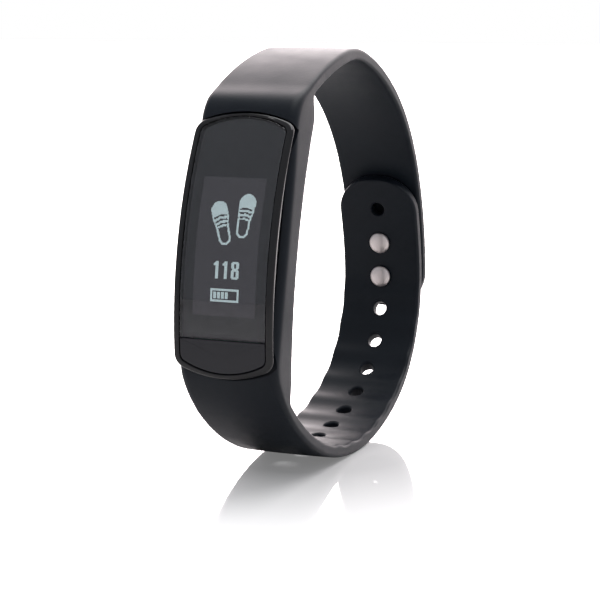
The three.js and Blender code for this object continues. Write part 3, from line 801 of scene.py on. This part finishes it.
keptStations = [bandStations()]
bandStrap = strapPiece("bandStrap", keptStations[0])
claspUpper = strapPiece("claspStrapUpper",
                        claspStations(bandPath["stubFrom"], claspCut["tipSeam"]))
keptStations.append(claspStations(claspCut["tipSeam"], strapShape["endLength"])
                    + endStations(claspLine, strapShape["endLength"], 0.0))
claspLower = strapPiece("claspStrapLower", keptStations[1])
print("straps lofted")


# ---- holes, by geometry nodes along the perforated strap ----

holeShape = {"lip": 0.32, "reach": 2.5, "sides": 28}


def latheMesh(profile, sides):
    # profile of (radius, height) turned round z
    points, faces = [], []
    for radius, height in profile:
        for j in range(sides):
            turn = 2 * math.pi * j / sides
            points.append((radius * math.cos(turn), radius * math.sin(turn), height))
    faces = bridge(len(profile), sides)
    faces.append(tuple(range(sides))[::-1])
    faces.append(tuple(range(len(points) - sides, len(points))))
    return points, faces


def holeProfile():
    radius, lip = strapShape["holeWidth"] / 2, holeShape["lip"]
    half = strapShape["thickness"] / 2
    arc = [(radius + lip * (1 - math.cos(t)), half - lip + lip * math.sin(t))
           for t in (math.pi / 2 * i / 5 for i in range(6))]
    upper = arc + [(radius + lip + 0.05, half + holeShape["reach"])]
    return [(r, -h) for r, h in upper[::-1]] + upper


def makeCutterSource():
    points, faces = latheMesh(holeProfile(), holeShape["sides"])
    data = bpy.data.meshes.new("holePunch")
    data.from_pydata((np.array(points) * millimetre).tolist(), [], faces)
    turnFacesOut(data)
    punch = bpy.data.objects.new("holePunch", data)
    scene.collection.objects.link(punch)
    return punch


def addNode(tree, kind, **settings):
    node = tree.nodes.new(kind)
    for label, value in settings.items():
        setattr(node, label, value)
    return node


def perforationTree():
    # along a path: so many copies of the punch, turned to follow it
    tree = bpy.data.node_groups.new("perforations", "GeometryNodeTree")
    face = tree.interface
    face.new_socket(name="Path", in_out="INPUT", socket_type="NodeSocketGeometry")
    face.new_socket(name="Count", in_out="INPUT", socket_type="NodeSocketInt")
    face.new_socket(name="Punch", in_out="INPUT", socket_type="NodeSocketObject")
    face.new_socket(name="Size", in_out="INPUT", socket_type="NodeSocketFloat")
    face.new_socket(name="Material", in_out="INPUT", socket_type="NodeSocketMaterial")
    face.new_socket(name="Cutters", in_out="OUTPUT", socket_type="NodeSocketGeometry")
    start, end = tree.nodes.new("NodeGroupInput"), tree.nodes.new("NodeGroupOutput")
    toCurve = addNode(tree, "GeometryNodeMeshToCurve")
    sample = addNode(tree, "GeometryNodeResampleCurve")
    tangent = addNode(tree, "GeometryNodeInputTangent")
    align = addNode(tree, "FunctionNodeAlignRotationToVector", axis="Y", pivot_axis="X")
    info = addNode(tree, "GeometryNodeObjectInfo")
    place = addNode(tree, "GeometryNodeInstanceOnPoints")
    real = addNode(tree, "GeometryNodeRealizeInstances")
    paint = addNode(tree, "GeometryNodeSetMaterial")
    link = tree.links.new
    link(start.outputs["Path"], toCurve.inputs["Mesh"])
    link(toCurve.outputs["Curve"], sample.inputs["Curve"])
    link(start.outputs["Count"], sample.inputs["Count"])
    link(tangent.outputs["Tangent"], align.inputs["Vector"])
    link(start.outputs["Punch"], info.inputs["Object"])
    link(sample.outputs["Curve"], place.inputs["Points"])
    link(info.outputs["Geometry"], place.inputs["Instance"])
    link(align.outputs["Rotation"], place.inputs["Rotation"])
    link(start.outputs["Size"], place.inputs["Scale"])
    link(place.outputs["Instances"], real.inputs["Geometry"])
    link(real.outputs["Geometry"], paint.inputs["Geometry"])
    link(start.outputs["Material"], paint.inputs["Material"])
    link(paint.outputs["Geometry"], end.inputs["Cutters"])
    return tree


def bakeNodes(holder, tree, values, name):
    # sets the inputs by identifier, evaluates once and keeps a plain mesh
    modifier = holder.modifiers.new("nodes", "NODES")
    modifier.node_group = tree
    sockets = {s.name: s.identifier for s in tree.interface.items_tree
               if getattr(s, "in_out", "") == "INPUT"}
    for label, value in values.items():
        modifier[sockets[label]] = value
    bpy.context.view_layer.update()
    graph = bpy.context.evaluated_depsgraph_get()
    data = bpy.data.meshes.new_from_object(holder.evaluated_get(graph))
    holder.modifiers.remove(modifier)
    data.name = name
    baked = bpy.data.objects.new(name, data)
    scene.collection.objects.link(baked)
    bpy.data.objects.remove(holder)
    return baked


def pathObject(name, points):
    data = bpy.data.meshes.new(name)
    placed = (np.array(points, float) + standing) * millimetre
    data.from_pydata(placed.tolist(), [(i, i + 1) for i in range(len(points) - 1)], [])
    holder = bpy.data.objects.new(name, data)
    scene.collection.objects.link(holder)
    return holder


def cutAway(piece, cutter):
    # takes the cutter out of the piece for good
    modifier = piece.modifiers.new("cut", "BOOLEAN")
    modifier.operation = "DIFFERENCE"
    modifier.solver = "EXACT"
    modifier.object = cutter
    bpy.context.view_layer.update()
    graph = bpy.context.evaluated_depsgraph_get()
    data = bpy.data.meshes.new_from_object(piece.evaluated_get(graph))
    piece.modifiers.remove(modifier)
    old = piece.data
    piece.data = data
    data.name = piece.name
    bpy.data.meshes.remove(old)
    bpy.data.objects.remove(cutter)


punch = makeCutterSource()
holePath = [(0.0, *tongueLine.under(s, strapShape["thickness"] / 2))
            for s in steps(lastHoleAt, firstHoleAt, strapStep)]
holeCutters = bakeNodes(
    pathObject("holePath", holePath), perforationTree(),
    {"Count": strapShape["holeCount"], "Punch": punch, "Size": 1.0, "Material": silicone},
    "holeCutters",
)
bpy.data.objects.remove(punch)
cutAway(bandStrap, holeCutters)
print("holes cut")


# ---- the tracker's window and seat in the frame ----


def underside(along):
    flat = trackerShape["bezelDrop"]
    return max(flat, faceDrop(along) + trackerShape["bezelThickness"])


seatShape = {
    "window": (15.0, 39.6, 3.3),  # width, length and corner of the opening behind the bezel
    "gap": 0.12,  # clearance round the bezel
    "ahead": -2.0,  # depths between which the window's cutter reaches
    "behind": 20.0,
}


def windowCutter():
    plan = roundedPlan(*seatShape["window"])
    rings = [trackerRing(plan, [seatShape[d]] * len(plan)) for d in ("ahead", "behind")]
    points, faces = loftRings(rings)
    return makeMesh("windowCutter", points, faces, silicone)


def seatCutter():
    width, length, sagitta, corner = trackerShape["bezel"]
    gap, ahead = seatShape["gap"], seatShape["ahead"]
    plan = bowedPlan(width + 2 * gap, length + 2 * gap, sagitta, corner + gap)
    front = trackerRing(plan, [ahead] * len(plan))
    back = trackerRing(plan, [underside(z) + gap for _, z in plan])
    points, faces = closedPebble([back, front], (plan, plan), lambda z: ahead,
                                 lambda z: underside(z) + gap)
    return makeMesh("seatCutter", points, faces, silicone)


cutAway(bandStrap, windowCutter())
cutAway(bandStrap, seatCutter())
smooth(bandStrap.data, softAngle)
print("tracker seat cut")


# ---- clasp: plate and studs ----

claspShape = {
    "plateLength": 15.0,
    "plateWidth": 8.0,
    "plateCorner": 3.9,
    "plateThickness": 0.8,
    "plateGap": 0.1,
    "edgeRound": 0.22,
    "shank": 1.1,
    "head": 2.0,
    "headRim": 0.25,
    "headHeight": 1.0,
    "headGap": 0.3,
}
studHoles = [firstHoleAt - (strapShape["upperStudHole"] + i) * strapShape["holePitch"]
             for i in (0, 1)]
studPlaces = [claspLine.nearest(tongueLine.at(s)[:2]) for s in studHoles]
plateMiddle = sum(studPlaces) / 2


def plateParts(grow, depths, edge):
    plan = roundedPlan(claspShape["plateWidth"] + 2 * grow,
                       claspShape["plateLength"] + 2 * grow,
                       claspShape["plateCorner"] + grow, 8, 12)
    inward = inwardNormals(plan)
    top, bottom = depths

    def ring(inset, depth):
        part = plan + inward * inset
        return [(x, *claspLine.under(plateMiddle + a, depth)) for x, a in part]

    def inner(share, depth):
        return [(x, *claspLine.under(plateMiddle + a, depth)) for x, a in plan * share]

    rings = [inner(k / 8, bottom) for k in range(1, 8)]
    rings += [ring(0.0, bottom)]
    rings += [ring(edge * (1 - math.cos(t)), top + edge * (1 - math.sin(t)))
              for t in (math.pi / 2 * i / 5 for i in range(6))]
    rings += [inner(k / 8, top) for k in range(7, 0, -1)]
    return loftRings(rings)


def makePlate():
    points, faces = plateParts(0.0, (-0.06, claspShape["plateThickness"]),
                               claspShape["edgeRound"])
    return makeMesh("claspPlate", points, faces, satinSteel, 45.0)


def makePlatePocket():
    gap = claspShape["plateGap"]
    points, faces = plateParts(gap, (-2.0, claspShape["plateThickness"] + gap), 0.05)
    return makeMesh("platePocket", points, faces, silicone)


def makeStud(name, place):
    y, z, heading = claspLine.at(place)
    inward = Vector((0, -math.sin(heading), math.cos(heading)))
    along = Vector((0, math.cos(heading), math.sin(heading)))
    headAt = 2 * strapShape["thickness"] + strapShape["lapGap"] + claspShape["headGap"]
    head, rim = claspShape["head"], claspShape["headRim"]
    roundAt = 0.18
    profile = [(claspShape["shank"], 1.0), (claspShape["shank"], headAt - 0.1),
               (claspShape["shank"] + 0.1, headAt), (head - roundAt, headAt)]
    profile += [(head - roundAt + roundAt * math.sin(t), headAt + roundAt * (1 - math.cos(t)))
                for t in (math.pi / 2 * i / 4 for i in range(1, 5))]
    dome = claspShape["headHeight"] - rim
    profile += [(head * math.cos(t), headAt + rim + dome * math.sin(t))
                for t in (math.pi / 2 * i / 12 for i in range(1, 12))]
    profile.append((0.02, headAt + rim + dome))
    points, faces = latheMesh(profile, 48)
    placed = [Vector((0, y, z)) + Vector((p[0], 0, 0)) + along * p[1] + inward * p[2]
              for p in points]
    return makeMesh(name, [tuple(p) for p in placed], faces, satinSteel, 40.0)


cutAway(claspLower, makePlatePocket())
smooth(claspLower.data, 38.0)
claspPlate = makePlate()
studUpper = makeStud("claspStudUpper", studPlaces[0])
studLower = makeStud("claspStudLower", studPlaces[1])
print("clasp made")


# ---- tracker case ----

bezelShape = {
    "outerRound": 0.5,
    "innerRound": 0.14,
    "undercut": 1.15,  # how far the side leans in under the rim
    "ledge": 1.2,  # depth of the ledge under the glass
    "rise": 0.06,  # rim above the glass
    "body": (14.4, 39.0, 1.0, 2.4),  # width, length, bow and corner of the part behind
    "cavity": (12.4, 37.0, 1.0, 1.6),
}


def mixPlans(outer, inner, offset):
    # the outer plan moved towards the inner one by so many millimetres
    away = inner - outer
    reach = np.linalg.norm(away, axis=1)[:, None]
    return outer + away / reach * np.minimum(offset, reach)


def makeBezel():
    width, length, sagitta, corner = trackerShape["bezel"]
    outer = bowedPlan(width, length, sagitta, corner)
    lensWidth, lensLength, lensBow, lensCorner = trackerShape["lens"]
    gap = trackerShape["rimGap"]
    inner = bowedPlan(lensWidth + 2 * gap, lensLength + 2 * gap, lensBow, lensCorner + gap)
    bodyPlan = bowedPlan(*bezelShape["body"])
    cavityPlan = bowedPlan(*bezelShape["cavity"])
    outRound, inRound = bezelShape["outerRound"], bezelShape["innerRound"]
    rise = bezelShape["rise"]
    rings = []

    def face(plan, sink):
        rings.append(trackerRing(plan, [faceDrop(z) + sink for _, z in plan]))

    def level(plan, depth):
        rings.append(trackerRing(plan, [depth] * len(plan)))

    face(cavityPlan, bezelShape["ledge"])
    face(inner, bezelShape["ledge"])
    face(inner, inRound)
    for i in range(1, 4):
        turn = math.pi / 2 * i / 3
        face(mixPlans(inner, outer, inRound * (1 - math.cos(turn))),
             inRound * (1 - math.sin(turn)) - rise * i / 3)
    face(mixPlans(inner, outer, inRound + 0.15), -rise)
    face(mixPlans(outer, inner, outRound), -rise * 0.5)
    for i in range(1, 9):
        turn = math.pi / 2 * i / 8
        face(mixPlans(outer, inner, outRound * (1 - math.sin(turn))),
             outRound * (1 - math.cos(turn)))
    for i in range(1, 6):
        share = i / 5
        plan = mixPlans(outer, inner, bezelShape["undercut"] * share**1.3 * 0.9)
        depths = [faceDrop(z) + outRound + (underside(z) - 0.1 - faceDrop(z) - outRound) * share
                  for _, z in plan]
        rings.append(trackerRing(plan, depths))
    low = mixPlans(outer, inner, bezelShape["undercut"] * 0.9 + 0.1)
    rings.append(trackerRing(low, [underside(z) for _, z in low]))
    rings.append(trackerRing(bodyPlan, [underside(z) for _, z in bodyPlan]))
    level(bodyPlan, trackerShape["splitDepth"])
    level(cavityPlan, trackerShape["splitDepth"])
    size = len(outer)
    points = [p for ring in rings for p in ring]
    faces = bridge(len(rings), size)
    last = (len(rings) - 1) * size
    faces += [(last + j, last + (j + 1) % size, (j + 1) % size, j) for j in range(size)]
    return makeMesh("trackerBezel", points, faces, glossBlack, 40.0)


faceSplit = {"seam": -15.4, "seamGap": 0.1, "glass": 0.8, "edge": 0.14}


def clipPlan(plan, lowest=None, highest=None):
    # keeps the part of a plan above or below a height, with a straight cut edge
    keep = []
    count = len(plan)
    for i in range(count):
        a, b = plan[i], plan[(i + 1) % count]
        limit = lowest if lowest is not None else highest
        sign = 1 if lowest is not None else -1
        if sign * (a[1] - limit) >= 0:
            keep.append(tuple(a))
        if (a[1] - limit) * (b[1] - limit) < 0:
            share = (limit - a[1]) / (b[1] - a[1])
            keep.append((a[0] + (b[0] - a[0]) * share, limit))
    out = []
    for i, p in enumerate(keep):
        q = keep[(i + 1) % len(keep)]
        reach = math.hypot(q[0] - p[0], q[1] - p[1])
        pieces = max(1, int(reach / 0.9))
        out += [(p[0] + (q[0] - p[0]) * k / pieces, p[1] + (q[1] - p[1]) * k / pieces)
                for k in range(pieces)]
    return np.array(out)


def facePlate(name, plan, material, thickness, sink=0.0, edge=None):
    # a thin plate that follows the curved face
    edge = faceSplit["edge"] if edge is None else edge
    inward = inwardNormals(plan)

    def ring(inset, below):
        part = plan + inward * inset
        return trackerRing(part, [faceDrop(z) + sink + below for _, z in part])

    walls = [ring(0.0, thickness)]
    walls += [ring(edge * (1 - math.cos(t)), edge * (1 - math.sin(t)))
              for t in (math.pi / 2 * i / 4 for i in range(5))]
    points, faces = closedPebble(walls, (plan + inward * edge, plan),
                                 lambda z: faceDrop(z) + sink,
                                 lambda z: faceDrop(z) + sink + thickness)
    return makeMesh(name, points, faces, material, 50.0)


def makeFace():
    plan = bowedPlan(*trackerShape["lens"])
    gap = faceSplit["seamGap"] / 2
    lens = facePlate("displayLens", clipPlan(plan, lowest=faceSplit["seam"] + gap), smokedGlass,
                     faceSplit["glass"])
    key = facePlate("lowerKey", clipPlan(plan, highest=faceSplit["seam"] - gap), keyGloss,
                    faceSplit["glass"])
    return lens, key


def makeBackCover():
    plan = roundedPlan(*trackerShape["body"])
    inward = inwardNormals(plan)
    front, back = trackerShape["splitDepth"] + 0.5, trackerShape["coverDepth"]
    edge = 0.6

    def ring(inset, depth):
        part = plan + inward * inset
        return trackerRing(part, [depth] * len(part))

    walls = [ring(edge * (1 - math.sin(t)), back - edge * (1 - math.cos(t)))
             for t in (math.pi / 2 * i / 6 for i in range(7))]
    walls += [ring(0.0, d) for d in (9.2, 9.15)] + [ring(0.12, 9.1), ring(0.12, 8.95)]
    walls += [ring(0.0, 8.9), ring(0.0, front)]
    points, faces = closedPebble(walls, (plan, plan + inward * edge),
                                 lambda z: front, lambda z: back)
    return makeMesh("backCover", points, faces, backPlastic, 40.0)


def trackerLathe(name, profile, x, along, material, sides=40):
    # turned about a line that runs into the tracker; profile of (radius, depth)
    points = []
    for radius, depth in profile:
        for j in range(sides):
            turn = 2 * math.pi * j / sides
            points.append(onTracker(x + radius * math.cos(turn), depth,
                                    along + radius * math.sin(turn)))
    faces = bridge(len(profile), sides)
    faces.append(tuple(range(sides))[::-1])
    faces.append(tuple(range(len(points) - sides, len(points))))
    return makeMesh(name, points, faces, material, 40.0)


contactShape = {"spacing": 5.0, "radius": 0.9, "along": 13.0, "proud": 0.15}


def makeContact(name, side):
    back, radius = trackerShape["coverDepth"], contactShape["radius"]
    proud = contactShape["proud"]
    profile = [(0.02, back - 1.5), (radius, back - 1.5), (radius, back + proud - 0.15)]
    profile += [(radius - 0.15 * (1 - math.cos(t)), back + proud - 0.15 * (1 - math.sin(t)))
                for t in (math.pi / 2 * i / 3 for i in range(1, 4))]
    profile += [(radius * 0.4, back + proud), (0.02, back + proud - 0.03)]
    return trackerLathe(name, profile, side * contactShape["spacing"] / 2,
                        contactShape["along"], goldPlate)


trackerBezel = makeBezel()
displayLens, lowerKey = makeFace()
backCover = makeBackCover()
contactLeft = makeContact("chargeContactLeft", -1)
contactRight = makeContact("chargeContactRight", 1)
print("tracker case made")


# ---- display: a black mask under the glass, and lit dots on a square grid ----

screenShape = {
    "columns": 64,
    "rows": 128,
    "width": 10.86,
    "length": 22.1,
    "middle": -0.55,
    "depth": 0.95,  # below the face
    "dot": 0.86,  # a dot's size, as a share of the grid's pitch
}


def maskMaterial():
    # black print; the faintly lighter field in front of it is a separate plate whose glow is a
    # painted reflection of the panel
    material, tree, shader, place = newMaterial("displayMask")
    smudge = useGroup(tree, smudgeGroup, place, Scale=60.0, Clean=0.3, Dull=0.45)
    tree.links.new(smudge.outputs["Roughness"], shader.inputs["Roughness"])
    tree.links.new(mixColours(tree, smudge.outputs["Mask"], (0.0022, 0.0025, 0.0036),
                              (0.003, 0.0033, 0.0045)), shader.inputs["Base Color"])
    return material


def panelGlow():
    # painted reflection: the unlit panel is no lamp, and this faint emission stands in for the
    # light its dark face reflects
    material, tree, shader, place = newMaterial("panelGlow")
    grid = noiseNode(tree, 6000.0, 1.0)
    tree.links.new(place, grid.inputs["Vector"])
    glow = mixColours(tree, grid.outputs["Fac"], (0.0230, 0.0210, 0.0240),
                      (0.0270, 0.0250, 0.0280))
    tree.links.new(glow, shader.inputs["Emission Color"])
    tree.links.new(mixColours(tree, grid.outputs["Fac"], (0.006, 0.005, 0.007),
                              (0.009, 0.008, 0.010)), shader.inputs["Base Color"])
    shader.inputs["Emission Strength"].default_value = 1.0
    shader.inputs["Roughness"].default_value = 0.35
    return material


def dotGlow():
    material, tree, shader, place = newMaterial("dotGlow")
    drift = noiseNode(tree, 260.0, 2.0)
    tree.links.new(place, drift.inputs["Vector"])
    glow = mixColours(tree, drift.outputs["Fac"], (0.44, 0.55, 0.55), (0.52, 0.63, 0.62))
    tree.links.new(glow, shader.inputs["Emission Color"])
    tree.links.new(glow, shader.inputs["Base Color"])
    shader.inputs["Emission Strength"].default_value = 1.0
    shader.inputs["Roughness"].default_value = 0.5
    return material


def soleShare(px, py, toe, heel):
    # how far inside a sole a point lies, and how far it is from the toe towards the heel
    dx, dy = heel[0] - toe[0], heel[1] - toe[1]
    t = ((px - toe[0]) * dx + (py - toe[1]) * dy) / (dx * dx + dy * dy)
    near = min(max(t, 0.0), 1.0)
    radius = np.interp(near, (0.0, 0.3, 0.55, 1.0), (8.3, 8.2, 6.6, 6.2))
    gap = math.hypot(px - toe[0] - near * dx, py - toe[1] - near * dy)
    return radius - gap, t


def soleLit(px, py, toe, heel):
    # a shoe from above: solid toe, three curved laces, an open heel
    inside, t = soleShare(px, py, toe, heel)
    if inside < 0:
        return False
    if t > 0.60 and inside > 2.0:
        return False
    bow = 0.06 * (1 - min(1.0, inside / 8.0))
    laces = ((0.17, 0.23), (0.31, 0.37), (0.45, 0.51))
    return not (inside > 1.6 and any(a < t - bow < b for a, b in laces))


digitShapes = {
    "1": ("..###", ".####", "#####", "#####", "..###", "..###", "..###", "..###", "..###",
          "..###", "..###", "..###", "..###", "..###", "..###", "..###"),
    "8": (".######.", "########", "###..###", "###..###", "###..###", "###..###", ".######.",
          ".######.", "########", "###..###", "###..###", "###..###", "###..###", "###..###",
          "########", ".######."),
}


def litDots():
    # (column, row) of every lit dot: two prints, a count, and a bar for the day's progress
    lit = set()
    prints = (((20.5, 31.0), (29.0, 57.0)), ((48.5, 23.5), (46.0, 50.0)))
    for toe, heel in prints:
        for row in range(12, 66):
            for column in range(8, 62):
                if soleLit(column + 0.5, row + 0.5, toe, heel):
                    lit.add((column, row))
    left = 20
    for digit in "118":
        shape = digitShapes[digit]
        for row, line in enumerate(shape):
            for column, mark in enumerate(line):
                if mark == "#":
                    lit.add((left + column, 78 + row))
        left += len(shape[0]) + 4
    for column in range(18, 47):
        for row in range(103, 115):
            edge = not (20 <= column < 45 and 105 <= row < 113)
            filled = 21 <= column < 37 and 106 <= row < 112 and (column - 21) % 4 < 3
            if edge or filled:
                lit.add((column, row))
    return sorted(lit)


def onScreen(column, row):
    shape = screenShape
    x = ((column + 0.5) / shape["columns"] - 0.5) * shape["width"]
    along = shape["middle"] + (0.5 - (row + 0.5) / shape["rows"]) * shape["length"]
    return onTracker(x, faceDrop(along) + shape["depth"] - 0.02, along)


def dotTree():
    # one small tile on each lit point, facing out of the tracker
    tree = bpy.data.node_groups.new("litDots", "GeometryNodeTree")
    face = tree.interface
    face.new_socket(name="Points", in_out="INPUT", socket_type="NodeSocketGeometry")
    face.new_socket(name="Width", in_out="INPUT", socket_type="NodeSocketFloat")
    face.new_socket(name="Length", in_out="INPUT", socket_type="NodeSocketFloat")
    face.new_socket(name="Lean", in_out="INPUT", socket_type="NodeSocketVector")
    face.new_socket(name="Material", in_out="INPUT", socket_type="NodeSocketMaterial")
    face.new_socket(name="Dots", in_out="OUTPUT", socket_type="NodeSocketGeometry")
    start, end = tree.nodes.new("NodeGroupInput"), tree.nodes.new("NodeGroupOutput")
    toPoints = addNode(tree, "GeometryNodeMeshToPoints")
    size = addNode(tree, "ShaderNodeCombineXYZ")
    tile = addNode(tree, "GeometryNodeMeshCube")
    place = addNode(tree, "GeometryNodeInstanceOnPoints")
    real = addNode(tree, "GeometryNodeRealizeInstances")
    paint = addNode(tree, "GeometryNodeSetMaterial")
    link = tree.links.new
    size.inputs["Y"].default_value = 0.00001
    link(start.outputs["Points"], toPoints.inputs["Mesh"])
    link(start.outputs["Width"], size.inputs["X"])
    link(start.outputs["Length"], size.inputs["Z"])
    link(size.outputs["Vector"], tile.inputs["Size"])
    link(toPoints.outputs["Points"], place.inputs["Points"])
    link(tile.outputs["Mesh"], place.inputs["Instance"])
    link(start.outputs["Lean"], place.inputs["Rotation"])
    link(place.outputs["Instances"], real.inputs["Geometry"])
    link(real.outputs["Geometry"], paint.inputs["Geometry"])
    link(start.outputs["Material"], paint.inputs["Material"])
    link(paint.outputs["Geometry"], end.inputs["Dots"])
    return tree


def makeDisplay():
    shape = screenShape
    lens = clipPlan(bowedPlan(14.2, 40.6, 2.0, 1.2), lowest=faceSplit["seam"] + 0.3)
    mask = facePlate("displayMask", lens, maskMaterial(), 0.06, shape["depth"] + 0.03, 0.01)
    halfWidth, half = shape["width"] / 2, shape["length"] / 2
    corners = [(halfWidth, shape["middle"] + half), (-halfWidth, shape["middle"] + half),
               (-halfWidth, shape["middle"] - half), (halfWidth, shape["middle"] - half)]
    # the field plate's faint glow is a painted reflection of the panel
    field = facePlate("displayField", clipPlan(np.array(corners), lowest=-15.0), panelGlow(),
                      0.02, shape["depth"] + 0.005, 0.004)
    holder = bpy.data.objects.new("litPoints", bpy.data.meshes.new("litPoints"))
    points = (np.array([onScreen(c, r) for c, r in litDots()]) + standing) * millimetre
    holder.data.from_pydata(points.tolist(), [], [])
    scene.collection.objects.link(holder)
    pitchX = shape["width"] / shape["columns"] * millimetre
    pitchZ = shape["length"] / shape["rows"] * millimetre
    dots = bakeNodes(holder, dotTree(),
                     {"Width": pitchX * shape["dot"], "Length": pitchZ * shape["dot"],
                      "Lean": (-leanAngle, 0.0, 0.0), "Material": dotGlow()}, "litDots")
    return mask, field, dots


displayMask, displayField, litDotsPiece = makeDisplay()
print("display made")


# ---- which body each piece rides on, and what it stands for ----

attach(bandStrap, "band")
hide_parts("strap_frame", "perforated_strap")


def alongPoint(distance, depth=1.1):
    y, z = claspLine.under(distance, depth)
    return tuple((np.array([0.0, y, z]) + standing) * millimetre)


flexPlaces = {"root": 87.0, "rootReach": 5.9, "tip": 46.0, "tipReach": 13.0}
alongPoint(flexPlaces["root"] + flexPlaces["rootReach"])
alongPoint(flexPlaces["root"] - flexPlaces["rootReach"])
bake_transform(claspUpper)
alongPoint(flexPlaces["tip"] + flexPlaces["tipReach"])
alongPoint(flexPlaces["tip"] - flexPlaces["tipReach"])
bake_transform(claspLower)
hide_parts("clasp_strap_bend")
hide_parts("clasp_strap_end")

rides = (
    (claspPlate, "strap_tip", "clasp_plate", "clasp_steel"),
    (studUpper, "strap_tip", "clasp_stud_upper", "clasp_steel"),
    (studLower, "strap_tip", "clasp_stud_lower", "clasp_steel"),
    (trackerBezel, "tracker", "front_case", "gloss_case"),
    (displayLens, "tracker", "display_lens", "smoked_glass"),
    (lowerKey, "key", "lower_key", "gloss_key"),
    (backCover, "tracker", "back_cover", "matte_case"),
    (contactLeft, "tracker", "charge_contact_left", "gold_contact"),
    (contactRight, "tracker", "charge_contact_right", "gold_contact"),
    (displayMask, "tracker", None, "panel_glass"),
    (displayField, "tracker", None, "panel_glass"),
    (litDotsPiece, "tracker", None, "panel_glass"),
)
for piece, body, node, slot in rides:
    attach(piece, body)
    if node:
        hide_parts(node)

innerFinishes = {
    "case_seal": sealRubber,
    "display_panel": panelBlack,
    "display_ribbon": amberFilm,
    "circuit_board": boardGreen,
    "key_switch": chipPlastic,
    "radio_processor": chipPlastic,
    "motion_sensor": chipPlastic,
    "clock_crystal": canSteel,
    "antenna_chip": backPlastic,
    "battery_cell": batteryFoil,
    "battery_guard_board": boardGreen,
    "battery_lead_plus": redSleeve,
    "battery_lead_minus": sealRubber,
    "motor_can": canSteel,
    "motor_weight": satinSteel,
    "motor_shaft": satinSteel,
    "motor_base": amberFilm,
}
for node, material in innerFinishes.items():
    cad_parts[node].data.materials.clear()
    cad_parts[node].data.materials.append(material)
print("pieces ride on the frame")


# ---- floor, light and camera ----

studio = {
    "floorSize": 6.0,
    "backLight": (10.5, 9.5, 9.6),
    "rightShare": 0.2,  # of the back light that reaches round to the right
    "frontLight": (0.43, 0.44, 0.475),
    "lensLength": 110.46,
    "azimuth": 22.64,
    "elevation": 9.2,
    "distance": 0.3205,
    "target": (0.0, -0.00682, 0.02797),
}


def makeFloor():
    size = studio["floorSize"] / 2
    data = bpy.data.meshes.new("floor")
    data.from_pydata([(-size, -size, 0), (size, -size, 0), (size, size, 0), (-size, size, 0)],
                     [], [(0, 1, 2, 3)])
    floor = bpy.data.objects.new("floor", data)
    scene.collection.objects.link(floor)
    material, tree, shader, place = newMaterial("paleFloor")
    grain = noiseNode(tree, 40.0, 2.0)
    tree.links.new(place, grain.inputs["Vector"])
    tree.links.new(mixColours(tree, grain.outputs["Fac"], (0.54, 0.54, 0.54), (0.57, 0.57, 0.57)),
                   shader.inputs["Base Color"])
    # seen by the camera the floor glows white, but less within 9 cm of the middle: painted shade
    # round the object, so its rendered shadow and reflection show
    seen = tree.nodes.new("ShaderNodeLightPath")
    away = tree.nodes.new("ShaderNodeVectorMath")
    away.operation = "LENGTH"
    tree.links.new(place, away.inputs[0])
    glow = rangeNode(tree, away.outputs["Value"], 0.018, 0.09, 0.17, 1.0)
    tree.links.new(mathNode(tree, "MULTIPLY", glow, seen.outputs["Is Camera Ray"]),
                   shader.inputs["Emission Strength"])
    shader.inputs["Emission Color"].default_value = (1.0, 1.0, 1.0, 1.0)
    length = tree.nodes.new("ShaderNodeVectorMath")
    length.operation = "LENGTH"
    tree.links.new(place, length.inputs[0])
    away = rangeNode(tree, length.outputs["Value"], 0.02, 0.16, 0.03, 0.3)
    tree.links.new(away, shader.inputs["Roughness"])
    shader.inputs["Specular IOR Level"].default_value = 0.5
    data.materials.append(material)
    return floor


def makeWorld():
    world = bpy.data.worlds.new("studio")
    scene.world = world
    world.use_nodes = True
    tree = world.node_tree
    background = tree.nodes["Background"]
    place = tree.nodes.new("ShaderNodeTexCoord")
    split = tree.nodes.new("ShaderNodeSeparateXYZ")
    tree.links.new(place.outputs["Generated"], split.inputs["Vector"])
    behind = rangeNode(tree, split.outputs["Y"], 0.35, 0.98, 0.0, 1.0)
    leftward = rangeNode(tree, split.outputs["X"], -0.45, 0.4, 1.0, studio["rightShare"])
    bright = mathNode(tree, "MULTIPLY", mathNode(tree, "POWER", behind, 1.5), leftward)
    light = mixColours(tree, bright, studio["frontLight"], studio["backLight"])
    seen = tree.nodes.new("ShaderNodeLightPath")
    colour = mixColours(tree, seen.outputs["Is Camera Ray"], light, (1.0, 1.0, 1.0))
    tree.links.new(colour, background.inputs["Color"])


def softBox(name, place, target, size, power):
    data = bpy.data.lights.new(name, "AREA")
    data.shape = "RECTANGLE"
    data.size, data.size_y = size
    data.energy = power
    light = bpy.data.objects.new(name, data)
    scene.collection.objects.link(light)
    light.location = place
    direction = Vector(target) - Vector(place)
    light.rotation_euler = direction.to_track_quat("-Z", "Y").to_euler()
    return light


def makeCamera():
    data = bpy.data.cameras.new("camera")
    data.lens = studio["lensLength"]
    data.sensor_width = 36.0
    data.clip_start = 0.01
    camera = bpy.data.objects.new("camera", data)
    scene.collection.objects.link(camera)
    azimuth, elevation = radians(studio["azimuth"]), radians(studio["elevation"])
    away = Vector((math.sin(azimuth) * math.cos(elevation),
                   -math.cos(azimuth) * math.cos(elevation), math.sin(elevation)))
    camera.location = Vector(studio["target"]) + away * studio["distance"]
    camera.rotation_euler = away.to_track_quat("Z", "Y").to_euler()
    scene.camera = camera


makeFloor()
makeWorld()
softBox("topSoft", (0.1, 0.15, 0.6), (0, 0, 0.03), (0.6, 0.5), 3.0)
makeCamera()
scene.view_settings.view_transform = "Standard"
print("studio set")
